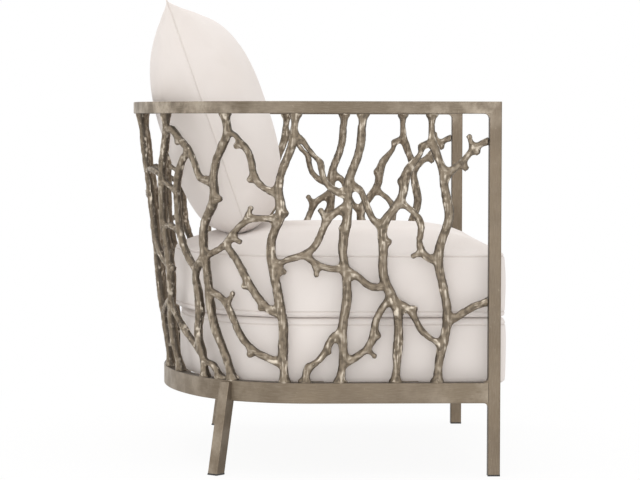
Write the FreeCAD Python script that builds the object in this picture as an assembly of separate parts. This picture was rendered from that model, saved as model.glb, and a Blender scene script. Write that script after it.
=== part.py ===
"""Barrel-shaped outdoor lounge chair: a metal tube frame whose arms and back are filled with cast
twigs, an upholstered deck, a loose seat cushion and a loose back pillow.

Millimetres. X runs across the chair, the front faces -Y and +Z is up. The origin lies on the floor
under the middle of the chair. "Right" is the sitter's right, which is the -X side.
"""
import FreeCAD, Part
import math
import os

V = FreeCAD.Vector

# Tube frame
ARM_WIDTH = 760.0              # across the outer faces of the arms
ARM_HEIGHT = 673.0             # floor to the top of the arm rail
FRAME_DEPTH = 672.0            # front face of the posts to the back of the arm rail
ARM_STRAIGHT = 337.0           # front face of the posts to where both rails start to bend
BACK_RAKE = 58.0               # how far the arm rail's back stands behind the seat rail's
ARM_RAIL_CORNER = 300.0        # radius of the arm rail's outer face at the rear corners
SEAT_RAIL_CORNER = 240.0       # radius of the seat rail's outer face at the rear corners
CORNER_ROOM_SHARE = 0.9        # most that a corner, or the crown inside it, takes of the room it has
TUBE = 22.0                    # side of the square tube
TUBE_WALL = 2.0
SEAT_RAIL_HEIGHT = 37.0        # the seat rail is a taller tube
SEAT_RAIL_LIFT = 132.0         # floor to the underside of the seat rail
CORNER_FILLET = 8.0            # cast fillet in the corners of posts and rails
REAR_LEG_TURN = 40.0           # degrees from the side of the chair round to the rear leg
REAR_LEG_SPLAY = 11.6          # degrees that the rear leg leans outwards
REAR_LEG_PROUD = 7.0           # how far the leg's top stands out from the seat rail
REAR_LEG_SETDOWN = 3.0         # from the seat rail's top down to the leg's top
GLIDE_FLANGE = 3.0             # thickness of a foot glide under its tube
GLIDE_PLUG = 14.0              # how far a glide reaches up into its tube
GLIDE_CLEARANCE = 0.2

# Deck that the cushion lies on
BEARER_WIDTH = 38.0
BEARER_THICKNESS = 8.0
BEARER_PLACE_SHARES = (0.25, 0.55, 0.82)   # of the inside depth, from the front rail back
DECK_HEIGHT = 114.0
DECK_BOARD = 12.0              # thickness of the board under the deck's foam
DECK_GAP = 10.5                # between the twigs and the deck or cushion
FRONT_OVERHANG = 18.0          # how far deck and cushion stand out in front of the posts
SCREW_DIAMETER = 5.0
SCREW_HEAD_DIAMETER = 10.0
SCREW_HEAD_HEIGHT = 3.0
SCREW_BITE = 9.0               # how far a screw enters the board
SCREW_CLEARANCE = 0.2
SCREW_PLACE_SHARES = (-0.5, 0.5)           # of half the arm width, from the middle

# Loose cushions
COVER = 2.0                    # thickness of the covers
FILLING_CLEARANCE = 0.3        # between a cover and its filling
FRONT_CORNER = 34.0            # plan radius of the front corners of deck and cushion
SOFT_EDGE = 24.0               # how far a soft edge rolls in
BOXING_HEIGHT = 113.0          # side band of the seat cushion
CROWN_HEIGHT = 44.0            # from the top seam to the highest point of the cushion
CROWN_REACH = 190.0            # from the cushion's side in to where its crown is level
PILLOW_WIDTH = 456.0
PILLOW_HEIGHT = 457.0
PILLOW_THICKNESS = 216.0
PILLOW_DRAW = 16.0             # how far the pillow's sides draw in between its corners
PILLOW_SAG = 28.0              # how far the stuffing behind the pillow's back face sinks
PILLOW_LEAN = 19.0             # degrees that the pillow leans back
PILLOW_SETBACK = 19.15         # room behind the pillow, from its full thickness to the arm rail
REST_GAP = 0.3                 # between the pillow and the cushion that carries it

# Cast twigs
TWIG = 17.0                    # full thickness of a stem
FLARE_LENGTH = 10.0            # root of a stem where it meets a rail
FLARE_SHARE = 1.4              # of the stem's own thickness
STUB_BASE_SHARE = 0.64          # of the stem thickness
STUB_TIP_SHARE = 0.4

# Heights and places that follow from the sizes above
HALF_WIDTH = ARM_WIDTH / 2
FRONT = -(FRAME_DEPTH + FRONT_OVERHANG) / 2
POST_FRONT = FRONT + FRONT_OVERHANG
POST_REAR = POST_FRONT + TUBE
BEND = POST_FRONT + ARM_STRAIGHT
ARM_BACK = POST_FRONT + FRAME_DEPTH
SEAT_RAIL_TOP = SEAT_RAIL_LIFT + SEAT_RAIL_HEIGHT
ARM_RAIL_UNDERSIDE = ARM_HEIGHT - TUBE
DECK_TOP = SEAT_RAIL_TOP + DECK_HEIGHT
OVERRUN = TUBE                 # how far a cutting shape runs past what it cuts

# Side profile of the deck: (height as a share of the deck, roll-in as a share of the soft edge)
DECK_PROFILE_SHARES = ((0.0, 0.3), (0.06, 0.1), (0.35, 0.0), (0.7, 0.02), (0.885, 0.16), (0.95, 0.35),
                       (1.0, 0.9))
# Side profile of the cushion's band, in the same shares
BOXING_PROFILE_SHARES = ((0.0, 1.0), (0.03, 0.4), (0.09, 0.2), (0.3, 0.05), (0.55, 0.0), (0.8, 0.05),
                         (1.0, 0.22))
# Crown of the cushion: (share of the crown's height, share of the crown's reach)
CROWN_PROFILE_SHARES = ((0.28, 0.08), (0.56, 0.23), (0.8, 0.47), (0.95, 0.74), (1.0, 1.0))
# One face of the pillow: (share of half its thickness, share of half its height rolled in)
PILLOW_PROFILE_SHARES = ((0.34, 0.07), (0.63, 0.24), (0.82, 0.42), (0.94, 0.62), (1.0, 0.85))

# Twigs of the right side, in the order in which each is seated against those before it.
# A place is (reach, rise, girth). Reach runs 0 to 1 from the post to the bend and 1 to 2 round the
# bend to the middle of the back, rise runs 0 to 1 from the seat rail to the arm rail, and girth is
# a share of the stem thickness.
TWIG_SHARES = (
    ("stem_1", ((0.29, 0, 0.95), (0.272, 0.10, 0.9), (0.238, 0.20, 0.98), (0.24, 0.30, 0.9),
                (0.272, 0.40, 0.95), (0.284, 0.48, 1.0), (0.255, 0.55, 0.95), (0.226, 0.61, 1.0),
                (0.248, 0.71, 0.9), (0.27, 0.80, 0.85), (0.322, 0.90, 0.85), (0.325, 1, 0.8))),
    ("stem_2", ((0.528, 0, 0.95), (0.518, 0.10, 0.95), (0.51, 0.20, 0.95), (0.535, 0.30, 1.0),
                (0.595, 0.39, 1.0), (0.60, 0.50, 0.95), (0.60, 0.585, 1.0), (0.54, 0.645, 0.95),
                (0.49, 0.70, 0.95), (0.478, 0.76, 1.05), (0.44, 0.81, 0.8), (0.395, 0.865, 0.75),
                (0.322, 0.90, 0.7))),
    ("stem_3", ((0.845, 0, 0.95), (0.826, 0.10, 0.9), (0.83, 0.20, 0.95), (0.806, 0.31, 1.0),
                (0.812, 0.40, 0.9), (0.829, 0.50, 0.95), (0.818, 0.565, 1.05), (0.80, 0.65, 0.9),
                (0.80, 0.74, 0.95), (0.742, 0.85, 0.9), (0.722, 0.95, 0.9), (0.716, 1, 0.9))),
    ("stem_4", ((1.14, 0, 1.0), (1.145, 0.10, 1.0), (1.14, 0.20, 1.0), (1.155, 0.30, 1.0),
                (1.175, 0.40, 1.0), (1.187, 0.48, 1.0), (1.175, 0.55, 0.95), (1.138, 0.635, 1.1),
                (1.145, 0.71, 0.95), (1.122, 0.80, 0.88), (1.08, 0.90, 0.88), (1.068, 1, 0.9))),
    ("stem_5", ((1.43, 0, 1.1), (1.47, 0.10, 0.9), (1.52, 0.20, 0.98), (1.533, 0.30, 0.95),
                (1.53, 0.40, 0.9), (1.534, 0.50, 0.98), (1.507, 0.60, 0.95), (1.455, 0.68, 1.08),
                (1.45, 0.75, 0.9), (1.41, 0.85, 0.9), (1.36, 0.94, 0.9), (1.365, 1, 0.9))),
    ("stem_6", ((1.64, 0, 0.95), (1.64, 0.10, 0.95), (1.65, 0.16, 0.9), (1.61, 0.25, 1.05),
                (1.605, 0.34, 0.9), (1.585, 0.42, 0.9), (1.532, 0.46, 0.85))),
    ("stem_7", ((1.795, 0, 1.0), (1.82, 0.10, 0.95), (1.82, 0.20, 0.95), (1.79, 0.30, 0.95),
                (1.772, 0.40, 1.05), (1.774, 0.50, 0.95), (1.775, 0.60, 0.9), (1.752, 0.70, 0.95),
                (1.727, 0.80, 0.9), (1.68, 0.90, 0.9), (1.656, 1, 0.95))),
    ("stem_8", ((1.91, 0, 1.0), (1.90, 0.10, 0.95), (1.918, 0.20, 0.95), (1.93, 0.30, 1.05),
                (1.92, 0.40, 0.95), (1.90, 0.50, 0.95), (1.888, 0.60, 1.0), (1.885, 0.70, 0.95),
                (1.90, 0.80, 0.9), (1.896, 0.90, 0.95), (1.89, 1, 1.0))),
    ("twigs_5", ((1.668, 0.925, 0.75), (1.60, 0.898, 0.85), (1.56, 0.865, 0.8), (1.53, 0.79, 0.75),
                 (1.452, 0.715, 0.75))),
    ("stem_9", ((1.558, 0.857, 0.75), (1.612, 0.80, 0.85), (1.65, 0.72, 0.85), (1.671, 0.62, 0.8),
                (1.67, 0.51, 0.85), (1.63, 0.44, 0.85), (1.592, 0.40, 0.75))),
    ("post_twigs", ((0.25, 0.745, 0.65), (0.18, 0.805, 0.75), (0.10, 0.862, 0.72), (0.04, 0.89, 0.68),
                    (0, 0.90, 0.7))),
    ("post_twigs", ((0.238, 0.225, 0.7), (0.17, 0.247, 0.78), (0.09, 0.28, 0.76), (0, 0.302, 0.76))),
    ("twigs_1", ((0.264, 0.12, 0.6), (0.33, 0.165, 0.66), (0.40, 0.215, 0.7), (0.435, 0.258, 0.78),
                 (0.50, 0.295, 0.66), (0.545, 0.312, 0.65))),
    ("twigs_1", ((0.50, 0.69, 0.65), (0.43, 0.635, 0.7), (0.385, 0.585, 0.72), (0.394, 0.525, 0.7),
                 (0.375, 0.485, 0.76), (0.32, 0.455, 0.68), (0.279, 0.43, 0.65))),
    ("twigs_2", ((0.565, 0.345, 0.7), (0.60, 0.28, 0.75), (0.643, 0.225, 0.75), (0.657, 0.165, 0.85),
                 (0.71, 0.115, 0.78), (0.78, 0.083, 0.75), (0.836, 0.055, 0.7))),
    ("twigs_2", ((0.813, 0.417, 0.7), (0.745, 0.395, 0.75), (0.69, 0.366, 0.76), (0.582, 0.362, 0.72))),
    ("twigs_2", ((0.80, 0.735, 0.65), (0.74, 0.722, 0.72), (0.70, 0.67, 0.72), (0.665, 0.615, 0.7),
                 (0.60, 0.575, 0.7))),
    ("twigs_3", ((0.831, 0.185, 0.7), (0.88, 0.172, 0.78), (0.915, 0.132, 0.85), (0.98, 0.075, 0.75),
                 (1.025, 0.045, 0.85), (1.04, 0, 0.8))),
    ("twigs_3", ((1.176, 0.405, 0.7), (1.08, 0.465, 0.76), (1.0, 0.50, 0.78), (0.95, 0.56, 0.76),
                 (0.915, 0.607, 0.8), (0.86, 0.64, 0.76), (0.802, 0.67, 0.7))),
    ("twigs_3", ((1.045, 0.48, 0.62), (0.96, 0.437, 0.7), (0.89, 0.424, 0.68), (0.818, 0.43, 0.65))),
    ("twigs_3", ((1.076, 0.918, 0.62), (1.03, 0.88, 0.7), (0.965, 0.838, 0.74), (0.946, 0.775, 0.7),
                 (0.90, 0.725, 0.7), (0.802, 0.69, 0.65))),
    ("twigs_4", ((1.362, 0.948, 0.7), (1.318, 0.89, 0.85), (1.265, 0.845, 0.76), (1.248, 0.77, 0.8),
                 (1.20, 0.72, 0.76), (1.145, 0.69, 0.7))),
    ("twigs_4", ((1.532, 0.455, 0.66), (1.43, 0.50, 0.72), (1.36, 0.555, 0.74), (1.29, 0.60, 0.72),
                 (1.21, 0.61, 0.7), (1.148, 0.618, 0.68))),
    ("twigs_4", ((1.415, 0.512, 0.7), (1.35, 0.44, 0.82), (1.30, 0.365, 0.85), (1.24, 0.295, 0.85),
                 (1.147, 0.25, 0.75))),
    ("twigs_4", ((1.533, 0.325, 0.7), (1.445, 0.296, 0.76), (1.395, 0.225, 0.78), (1.345, 0.15, 0.76),
                 (1.27, 0.105, 0.78), (1.143, 0.055, 0.72))),
    ("twigs_5", ((1.642, 0.095, 0.72), (1.585, 0.055, 0.76), (1.532, 0.027, 0.76), (1.515, 0, 0.8))),
    ("twigs_6", ((1.808, 0.265, 0.7), (1.75, 0.19, 0.78), (1.70, 0.135, 0.76), (1.645, 0.085, 0.7))),
    ("twigs_6", ((1.893, 0.775, 0.6), (1.82, 0.781, 0.68), (1.738, 0.757, 0.62))),
    ("twigs_6", ((1.742, 0.74, 0.6), (1.695, 0.72, 0.68), (1.655, 0.695, 0.6))),
    ("twigs_6", ((1.775, 0.555, 0.62), (1.735, 0.568, 0.7), (1.671, 0.53, 0.62))),
    ("twigs_7", ((1.918, 0.205, 0.65), (1.865, 0.245, 0.75), (1.80, 0.28, 0.68))),
    ("twigs_7", ((1.772, 0.40, 0.65), (1.84, 0.445, 0.75), (1.898, 0.515, 0.68))),
)
# Twigs that cross the middle of the back, written for the right half in the same shares
BACK_TWIG_SHARES = (
    ((1.927, 0.28, 0.7), (1.97, 0.345, 0.78), (2.0, 0.36, 0.72)),
    ((1.885, 0.66, 0.7), (1.94, 0.69, 0.76), (2.0, 0.672, 0.74)),
)
# Broken-off stubs: node, the row that it grows from, and base and tip as (reach, rise)
STUB_SHARES = (
    ("post_twigs", 0, (0.095, 0.866), (0.112, 0.915)),
    ("twigs_1", 1, (0.385, 0.487), (0.428, 0.472)),
    ("twigs_2", 0, (0.69, 0.125), (0.648, 0.098)),
    ("twigs_3", 1, (0.925, 0.60), (0.955, 0.64)),
    ("twigs_3", 2, (1.0, 0.455), (0.978, 0.402)),
    ("twigs_4", 1, (1.31, 0.59), (1.272, 0.648)),
    ("twigs_4", 1, (1.385, 0.535), (1.335, 0.522)),
    ("twigs_4", 3, (1.43, 0.28), (1.392, 0.325)),
    ("stem_9", 0, (1.625, 0.78), (1.672, 0.795)),
)


class Plan:
    """A U in plan, open to the front: straight arms, round rear corners and a shallow round back."""

    def __init__(self, half, corner, back, bend):
        self.half = half
        self.corner = corner
        self.back = back
        self.bend = bend
        side = half - corner
        depth = back - bend
        self.back_radius = (side ** 2 + depth ** 2 - corner ** 2) / (2 * (depth - corner))
        self.back_centre = back - self.back_radius
        self.split = math.atan2(bend - self.back_centre, side)

    def inset(self, amount):
        """The same U drawn in by an amount all round."""
        return Plan(self.half - amount, self.corner - amount, self.back - amount, self.bend)

    def blend(self, other, share):
        """The U that lies between this one and another."""
        half = self.half + share * (other.half - self.half)
        corner = self.corner + share * (other.corner - self.corner)
        back = self.back + share * (other.back - self.back)
        return Plan(half, corner, back, self.bend + share * (other.bend - self.bend))

    def point(self, turn, level=0):
        """Point on the right half where the outward normal has turned from the side (0) to the back."""
        if turn <= self.split:
            x = -(self.half - self.corner) - self.corner * math.cos(turn)
            return V(x, self.bend + self.corner * math.sin(turn), level)
        radius = self.back_radius
        return V(-radius * math.cos(turn), self.back_centre + radius * math.sin(turn), level)

    def edges(self, front, level):
        """Edges from the right arm's front end round the back to the left arm's front end."""
        start, middle, end = (self.point(self.split * share, level) for share in (0, 0.5, 1))
        right = [Part.LineSegment(V(-self.half, front, level), start).toShape()]
        right.append(Part.Arc(start, middle, end).toShape())
        back = Part.Arc(end, V(0, self.back, level), across(end)).toShape()
        left = [Part.Arc(across(end), across(middle), across(start)).toShape()]
        left.append(Part.LineSegment(across(start), V(self.half, front, level)).toShape())
        return right + [back] + left

    def wire(self, front, level, round_front=0):
        """Closed outline, with the two front corners rounded where a radius is given."""
        if not round_front:
            ends = V(self.half, front, level), V(-self.half, front, level)
            return Part.Wire(self.edges(front, level) + [Part.LineSegment(*ends).toShape()])
        shoulder = front + round_front
        inner = self.half - round_front
        bulge = round_front * (1 - math.sqrt(0.5))
        corner = [V(-inner, front, level), V(-self.half + bulge, front + bulge, level)]
        corner.append(V(-self.half, shoulder, level))
        left = Part.Arc(*[across(point) for point in reversed(corner)])
        line = Part.LineSegment(across(corner[0]), corner[0])
        right = Part.Arc(*corner)
        return Part.Wire(self.edges(shoulder, level) + [left.toShape(), line.toShape(), right.toShape()])

    def prism(self, front, bottom, height):
        """Solid of the whole outline."""
        return Part.Face(self.wire(front, bottom)).extrude(V(0, 0, height))

    def tube(self, front, bottom, height):
        """Hollow square-section tube that follows the U, with its ends open."""
        def band(outer, inner, floor, rise):
            whole = self.inset(outer).prism(front, floor, rise)
            return whole.cut(self.inset(inner).prism(front - OVERRUN, floor - OVERRUN, rise + 2 * OVERRUN))
        cavity = band(TUBE_WALL, TUBE - TUBE_WALL, bottom + TUBE_WALL, height - 2 * TUBE_WALL)
        return band(0, TUBE, bottom, height).cut(cavity)


def across(point):
    """The mirrored point on the left half."""
    return V(-point.x, point.y, point.z)


def left_of(shape):
    """The mirrored shape on the left half."""
    return shape.mirror(V(0, 0, 0), V(1, 0, 0))


def rail_plan(corner, back):
    """Outer face of a rail, its rear corners no rounder than the bend has room for."""
    bend = max(BEND, back - CORNER_ROOM_SHARE * HALF_WIDTH)
    return Plan(HALF_WIDTH, min(corner, CORNER_ROOM_SHARE * (back - bend)), back, bend)


ARM_PLAN = rail_plan(ARM_RAIL_CORNER, ARM_BACK)
SEAT_PLAN = rail_plan(SEAT_RAIL_CORNER, ARM_BACK - BACK_RAKE)
ARM_LINE = ARM_PLAN.inset(TUBE / 2)
SEAT_LINE = SEAT_PLAN.inset(TUBE / 2)


def box(x_range, y_range, z_range):
    """Box between two values along each axis."""
    low = V(x_range[0], y_range[0], z_range[0])
    size = V(x_range[1], y_range[1], z_range[1]) - low
    return Part.makeBox(size.x, size.y, size.z, low)


def extrude_side(points, x_range):
    """Prism along X from an outline of (y, z) points."""
    corners = [V(x_range[0], y, z) for y, z in points]
    return Part.Face(Part.makePolygon(corners + corners[:1])).extrude(V(x_range[1] - x_range[0], 0, 0))


# Tube frame

def corner_fillet(level, upward):
    """Fillet behind the right post, on top of a rail or under one."""
    top = level + upward * CORNER_FILLET
    centre = V(-HALF_WIDTH, POST_REAR + CORNER_FILLET, top)
    deep = (POST_REAR, POST_REAR + CORNER_FILLET)
    block = box((-HALF_WIDTH, -HALF_WIDTH + TUBE), deep, sorted((level, top)))
    return block.cut(Part.makeCylinder(CORNER_FILLET, TUBE, centre, V(1, 0, 0)))


def mitre_half(below):
    """Half of the square corner where post and arm rail meet, below or above the mitre."""
    front_top = (POST_FRONT, ARM_HEIGHT)
    rear_low = (POST_REAR, ARM_RAIL_UNDERSIDE)
    third = (POST_FRONT, ARM_RAIL_UNDERSIDE) if below else (POST_REAR, ARM_HEIGHT)
    return extrude_side((front_top, rear_low, third), (-HALF_WIDTH - OVERRUN, HALF_WIDTH + OVERRUN))


def arm_rail():
    """Arm rail: a level tube round both arms and the back, mitred to the posts."""
    return ARM_PLAN.tube(POST_FRONT, ARM_RAIL_UNDERSIDE, TUBE).cut(mitre_half(below=True))


def seat_rail():
    """Seat rail: the taller tube that carries the twigs' feet and the deck."""
    return SEAT_PLAN.tube(POST_REAR, SEAT_RAIL_LIFT, SEAT_RAIL_HEIGHT)


def front_post():
    """Right front post, from its glide up to the mitre, with the cast fillets behind it."""
    outside = (-HALF_WIDTH, -HALF_WIDTH + TUBE)
    inside = (outside[0] + TUBE_WALL, outside[1] - TUBE_WALL)
    post = box(outside, (POST_FRONT, POST_REAR), (GLIDE_FLANGE, ARM_HEIGHT))
    bore = box(inside, (POST_FRONT + TUBE_WALL, POST_REAR - TUBE_WALL), (0, ARM_HEIGHT - TUBE_WALL))
    post = post.cut(bore).cut(mitre_half(below=False))
    corners = ((ARM_RAIL_UNDERSIDE, -1), (SEAT_RAIL_TOP, 1), (SEAT_RAIL_LIFT, -1))
    return post.fuse([corner_fillet(level, upward) for level, upward in corners]).removeSplitter()


def front_rail():
    """Rail between the two posts, under the front of the deck."""
    reach = HALF_WIDTH - TUBE
    rail = box((-reach, reach), (POST_FRONT, POST_REAR), (SEAT_RAIL_LIFT, SEAT_RAIL_TOP))
    bore_depth = (POST_FRONT + TUBE_WALL, POST_REAR - TUBE_WALL)
    return rail.cut(box((-reach, reach), bore_depth, (SEAT_RAIL_LIFT + TUBE_WALL, SEAT_RAIL_TOP - TUBE_WALL)))


def leg_prism(side, bottom, top):
    """Leaning square prism of the right rear leg, cut level at both ends."""
    turn = math.radians(REAR_LEG_TURN)
    outward = V(-math.cos(turn), math.sin(turn), 0)
    along = V(-math.sin(turn), -math.cos(turn), 0)
    leg_top = SEAT_RAIL_TOP - REAR_LEG_SETDOWN
    lean = math.tan(math.radians(REAR_LEG_SPLAY))
    axis = SEAT_PLAN.point(turn, leg_top) + outward * (REAR_LEG_PROUD - TUBE / 2)
    start = axis + (outward * lean - V(0, 0, 1)) * (leg_top - bottom)
    half = side / 2
    signs = ((1, 1), (1, -1), (-1, -1), (-1, 1))
    corners = [start + outward * (a * half) + along * (b * half) for a, b in signs]
    face = Part.Face(Part.makePolygon(corners + corners[:1]))
    return face.extrude((V(0, 0, 1) - outward * lean) * (top - bottom))


def rear_leg():
    """Right rear leg: a leaning tube, coped over the outer face of the seat rail."""
    top = SEAT_RAIL_TOP - REAR_LEG_SETDOWN
    leg = leg_prism(TUBE, GLIDE_FLANGE, top).cut(leg_prism(TUBE - 2 * TUBE_WALL, 0, top - TUBE_WALL))
    return leg.cut(SEAT_PLAN.prism(POST_REAR, SEAT_RAIL_LIFT, SEAT_RAIL_HEIGHT))


def front_glide():
    """Foot glide of the right front post: a flange with a plug up into the tube."""
    flange = box((-HALF_WIDTH, -HALF_WIDTH + TUBE), (POST_FRONT, POST_REAR), (0, GLIDE_FLANGE))
    edge = TUBE_WALL + GLIDE_CLEARANCE
    plug_x = (-HALF_WIDTH + edge, -HALF_WIDTH + TUBE - edge)
    plug_y = (POST_FRONT + edge, POST_REAR - edge)
    return flange.fuse(box(plug_x, plug_y, (GLIDE_FLANGE, GLIDE_FLANGE + GLIDE_PLUG)))


def rear_glide():
    """Foot glide of the right rear leg."""
    plug = leg_prism(TUBE - 2 * (TUBE_WALL + GLIDE_CLEARANCE), GLIDE_FLANGE, GLIDE_FLANGE + GLIDE_PLUG)
    return leg_prism(TUBE, 0, GLIDE_FLANGE).fuse(plug)


# Twigs

def wall_point(reach, rise):
    """Point on the middle surface of the twig wall, and the wall's outward direction there."""
    level = SEAT_RAIL_TOP + rise * (ARM_RAIL_UNDERSIDE - SEAT_RAIL_TOP)
    if reach <= 1:
        bend = SEAT_LINE.bend + rise * (ARM_LINE.bend - SEAT_LINE.bend)
        return V(-SEAT_LINE.half, POST_REAR + reach * (bend - POST_REAR), level), V(-1, 0, 0)
    turn = (reach - 1) * math.pi / 2
    low = SEAT_LINE.point(turn)
    point = low + (ARM_LINE.point(turn) - low) * rise
    return V(point.x, point.y, level), V(-math.cos(turn), math.sin(turn), 0)


def end_direction(place):
    """Direction of a twig's end where it is cut square on a rail or a post, else None."""
    reach, rise, _ = place
    if rise in (0, 1):
        return V(0, 0, 1)
    if reach == 0:
        return V(0, -1, 0)
    if reach == 2:
        return V(1, 0, 0)
    return None


def ring(centre, direction, outward, girth):
    """Circle across a twig, started on the wall's outward side so that all rings line up."""
    circle = Part.makeCircle(TWIG / 2 * girth)
    circle.Placement = FreeCAD.Placement(centre, FreeCAD.Rotation(outward, V(), direction, "ZXY"))
    return Part.Wire(circle)


def twig(places):
    """Twig lofted through rings, with a flared root at each end that stands on a rail."""
    spots = [(wall_point(reach, rise), girth) for reach, rise, girth in places]
    centres = [point for (point, _), _ in spots]
    rings = []
    for index, ((point, outward), girth) in enumerate(spots):
        before = centres[max(index - 1, 0)]
        after = centres[min(index + 1, len(spots) - 1)]
        direction = (after - before).normalize()
        fixed = end_direction(places[index]) if index in (0, len(spots) - 1) else None
        if fixed is None:
            rings.append(ring(point, direction, outward, girth))
            continue
        if fixed.dot(direction) < 0:
            fixed = fixed * -1
        flare = 1 if places[index][0] == 2 else FLARE_SHARE
        end = ring(point, fixed, outward, girth * flare)
        inner = after if index == 0 else before
        neck = ring(point + (inner - point).normalize() * FLARE_LENGTH, direction, outward, girth)
        rings.extend([end, neck] if index == 0 else [neck, end])
    return Part.makeLoft(rings, True, False)


def stub(base, tip):
    """Short broken-off side twig."""
    foot = wall_point(*base)[0]
    reach = wall_point(*tip)[0] - foot
    radius = TWIG / 2
    return Part.makeCone(radius * STUB_BASE_SHARE, radius * STUB_TIP_SHARE, reach.Length, foot, reach)


def seated(shape, others):
    """The largest piece of a shape once everything that it runs into has been cut away."""
    for other in others:
        if shape.BoundBox.intersect(other.BoundBox):
            shape = shape.cut(other)
    return max(shape.Solids, key=lambda solid: solid.Volume)


def right_twigs():
    """All twigs of the right half, grouped by node."""
    done = []
    nodes = {}
    for name, places in TWIG_SHARES:
        row = len(nodes.setdefault(name, []))
        shape = twig(places)
        stubs = [stub(base, tip) for owner, number, base, tip in STUB_SHARES if (owner, number) == (name, row)]
        if stubs:
            shape = shape.fuse(stubs)
        shape = seated(shape, done)
        done.append(shape)
        nodes[name].append(shape)
    return nodes


def back_twigs(stem):
    """Twigs across the middle of the back, between the two middle stems."""
    halves = [seated(twig(places), [stem]) for places in BACK_TWIG_SHARES]
    return [half.fuse(left_of(half)).removeSplitter() for half in halves]


# Deck and cushions

def soft_plan(level):
    """Plan of a soft piece that fits inside the twig wall at the level of its underside."""
    share = (level - SEAT_RAIL_TOP) / (ARM_RAIL_UNDERSIDE - SEAT_RAIL_TOP)
    return SEAT_LINE.blend(ARM_LINE, share).inset(TWIG / 2 + DECK_GAP)


def soft_body(plan, rows, shrink=0):
    """Loft through (level, roll-in) rows of a plan, drawn in all round for what lies inside it."""
    wires = []
    for level, roll in rows:
        wires.append(plan.inset(roll + shrink).wire(FRONT + roll + shrink, level, FRONT_CORNER))
    return Part.makeLoft(wires, True, True)


def deck_body(bottom, shrink=0):
    """Upholstered deck from a level up to its top."""
    height = DECK_TOP - shrink - SEAT_RAIL_TOP
    rows = [(SEAT_RAIL_TOP + rise * height, roll * SOFT_EDGE) for rise, roll in DECK_PROFILE_SHARES]
    body = soft_body(soft_plan(SEAT_RAIL_TOP), rows, shrink)
    return body.cut(box((-ARM_WIDTH, ARM_WIDTH), (-FRAME_DEPTH, FRAME_DEPTH), (0, bottom)))


def screw_places():
    """Centres of the deck screws, on the level of the bearers' underside."""
    level = SEAT_RAIL_TOP - BEARER_THICKNESS
    return [V(share * HALF_WIDTH, y, level) for y in bearer_places() for share in SCREW_PLACE_SHARES]


def bearer_places():
    """Middle of each bearer, from front to back."""
    depth = SEAT_PLAN.back - TUBE - POST_REAR
    return [POST_REAR + share * depth for share in BEARER_PLACE_SHARES]


def bearer(middle, holes):
    """Flat bar across the seat rail, flush with its top and drilled for the deck screws."""
    deep = (middle - BEARER_WIDTH / 2, middle + BEARER_WIDTH / 2)
    bar = box((-HALF_WIDTH, HALF_WIDTH), deep, (SEAT_RAIL_TOP - BEARER_THICKNESS, SEAT_RAIL_TOP))
    return bar.common(SEAT_PLAN.inset(TUBE).prism(POST_REAR, SEAT_RAIL_LIFT, SEAT_RAIL_HEIGHT)).cut(holes)


def screw(place):
    """Deck screw, driven up through a bearer into the board."""
    shank = Part.makeCylinder(SCREW_DIAMETER / 2, BEARER_THICKNESS + SCREW_BITE, place)
    head_place = place - V(0, 0, SCREW_HEAD_HEIGHT)
    return shank.fuse(Part.makeCylinder(SCREW_HEAD_DIAMETER / 2, SCREW_HEAD_HEIGHT, head_place))


def screw_hole(place):
    """Clearance hole for a deck screw through bearer and board."""
    depth = BEARER_THICKNESS + SCREW_BITE + SCREW_CLEARANCE
    return Part.makeCylinder(SCREW_DIAMETER / 2 + SCREW_CLEARANCE, depth, place)


def seat_cushion(shrink=0):
    """Boxed seat cushion with a crowned top, from the deck up."""
    bottom = DECK_TOP + shrink
    boxing = BOXING_HEIGHT - 2 * shrink
    plan = soft_plan(DECK_TOP)
    seam_roll = BOXING_PROFILE_SHARES[-1][1] * SOFT_EDGE
    crown_reach = min(CROWN_REACH, CORNER_ROOM_SHARE * plan.corner)
    rows = [(bottom + rise * boxing, roll * SOFT_EDGE) for rise, roll in BOXING_PROFILE_SHARES]
    for rise, reach in CROWN_PROFILE_SHARES:
        rows.append((bottom + boxing + rise * CROWN_HEIGHT, seam_roll + reach * (crown_reach - seam_roll)))
    return soft_body(plan, rows, shrink)


def pillow_outline(roll, depth, shrink):
    """Square outline of the upright pillow, its sides drawn in between the corners."""
    wide = PILLOW_WIDTH / 2 - roll - shrink
    high = PILLOW_HEIGHT / 2 - roll - shrink
    draw = PILLOW_DRAW * (1 - roll / (PILLOW_HEIGHT / 2))
    sink = PILLOW_SAG * max(depth, 0) / (PILLOW_THICKNESS / 2)
    corners = [V(a * wide, depth, b * high - sink) for a, b in ((-1, -1), (1, -1), (1, 1), (-1, 1))]
    middles = [V(0, depth, draw - high - sink), V(wide - draw, depth, -sink)]
    middles += [V(0, depth, high - draw - sink), V(draw - wide, depth, -sink)]
    edges = [Part.Arc(corners[i], middles[i], corners[(i + 1) % 4]).toShape() for i in range(4)]
    return Part.Wire(edges)


def pillow(shrink=0):
    """Knife-edged pillow, leaning back about the middle of its foot."""
    half = PILLOW_THICKNESS / 2 - shrink
    face = [(roll * PILLOW_HEIGHT / 2, depth * half) for depth, roll in PILLOW_PROFILE_SHARES]
    rows = [(roll, -depth) for roll, depth in reversed(face)] + [(0, 0)] + face
    body = Part.makeLoft([pillow_outline(roll, depth, shrink) for roll, depth in rows], True, True)
    lean = math.radians(PILLOW_LEAN)
    level = DECK_TOP + BOXING_HEIGHT + CROWN_HEIGHT
    reach = (ARM_RAIL_UNDERSIDE - level) * math.tan(lean) + PILLOW_THICKNESS / 2 / math.cos(lean)
    foot = V(0, ARM_BACK - TUBE - PILLOW_SETBACK - reach, level)
    body.translate(foot + V(0, 0, PILLOW_HEIGHT / 2))
    body.rotate(foot, V(1, 0, 0), -PILLOW_LEAN)
    return body


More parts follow.
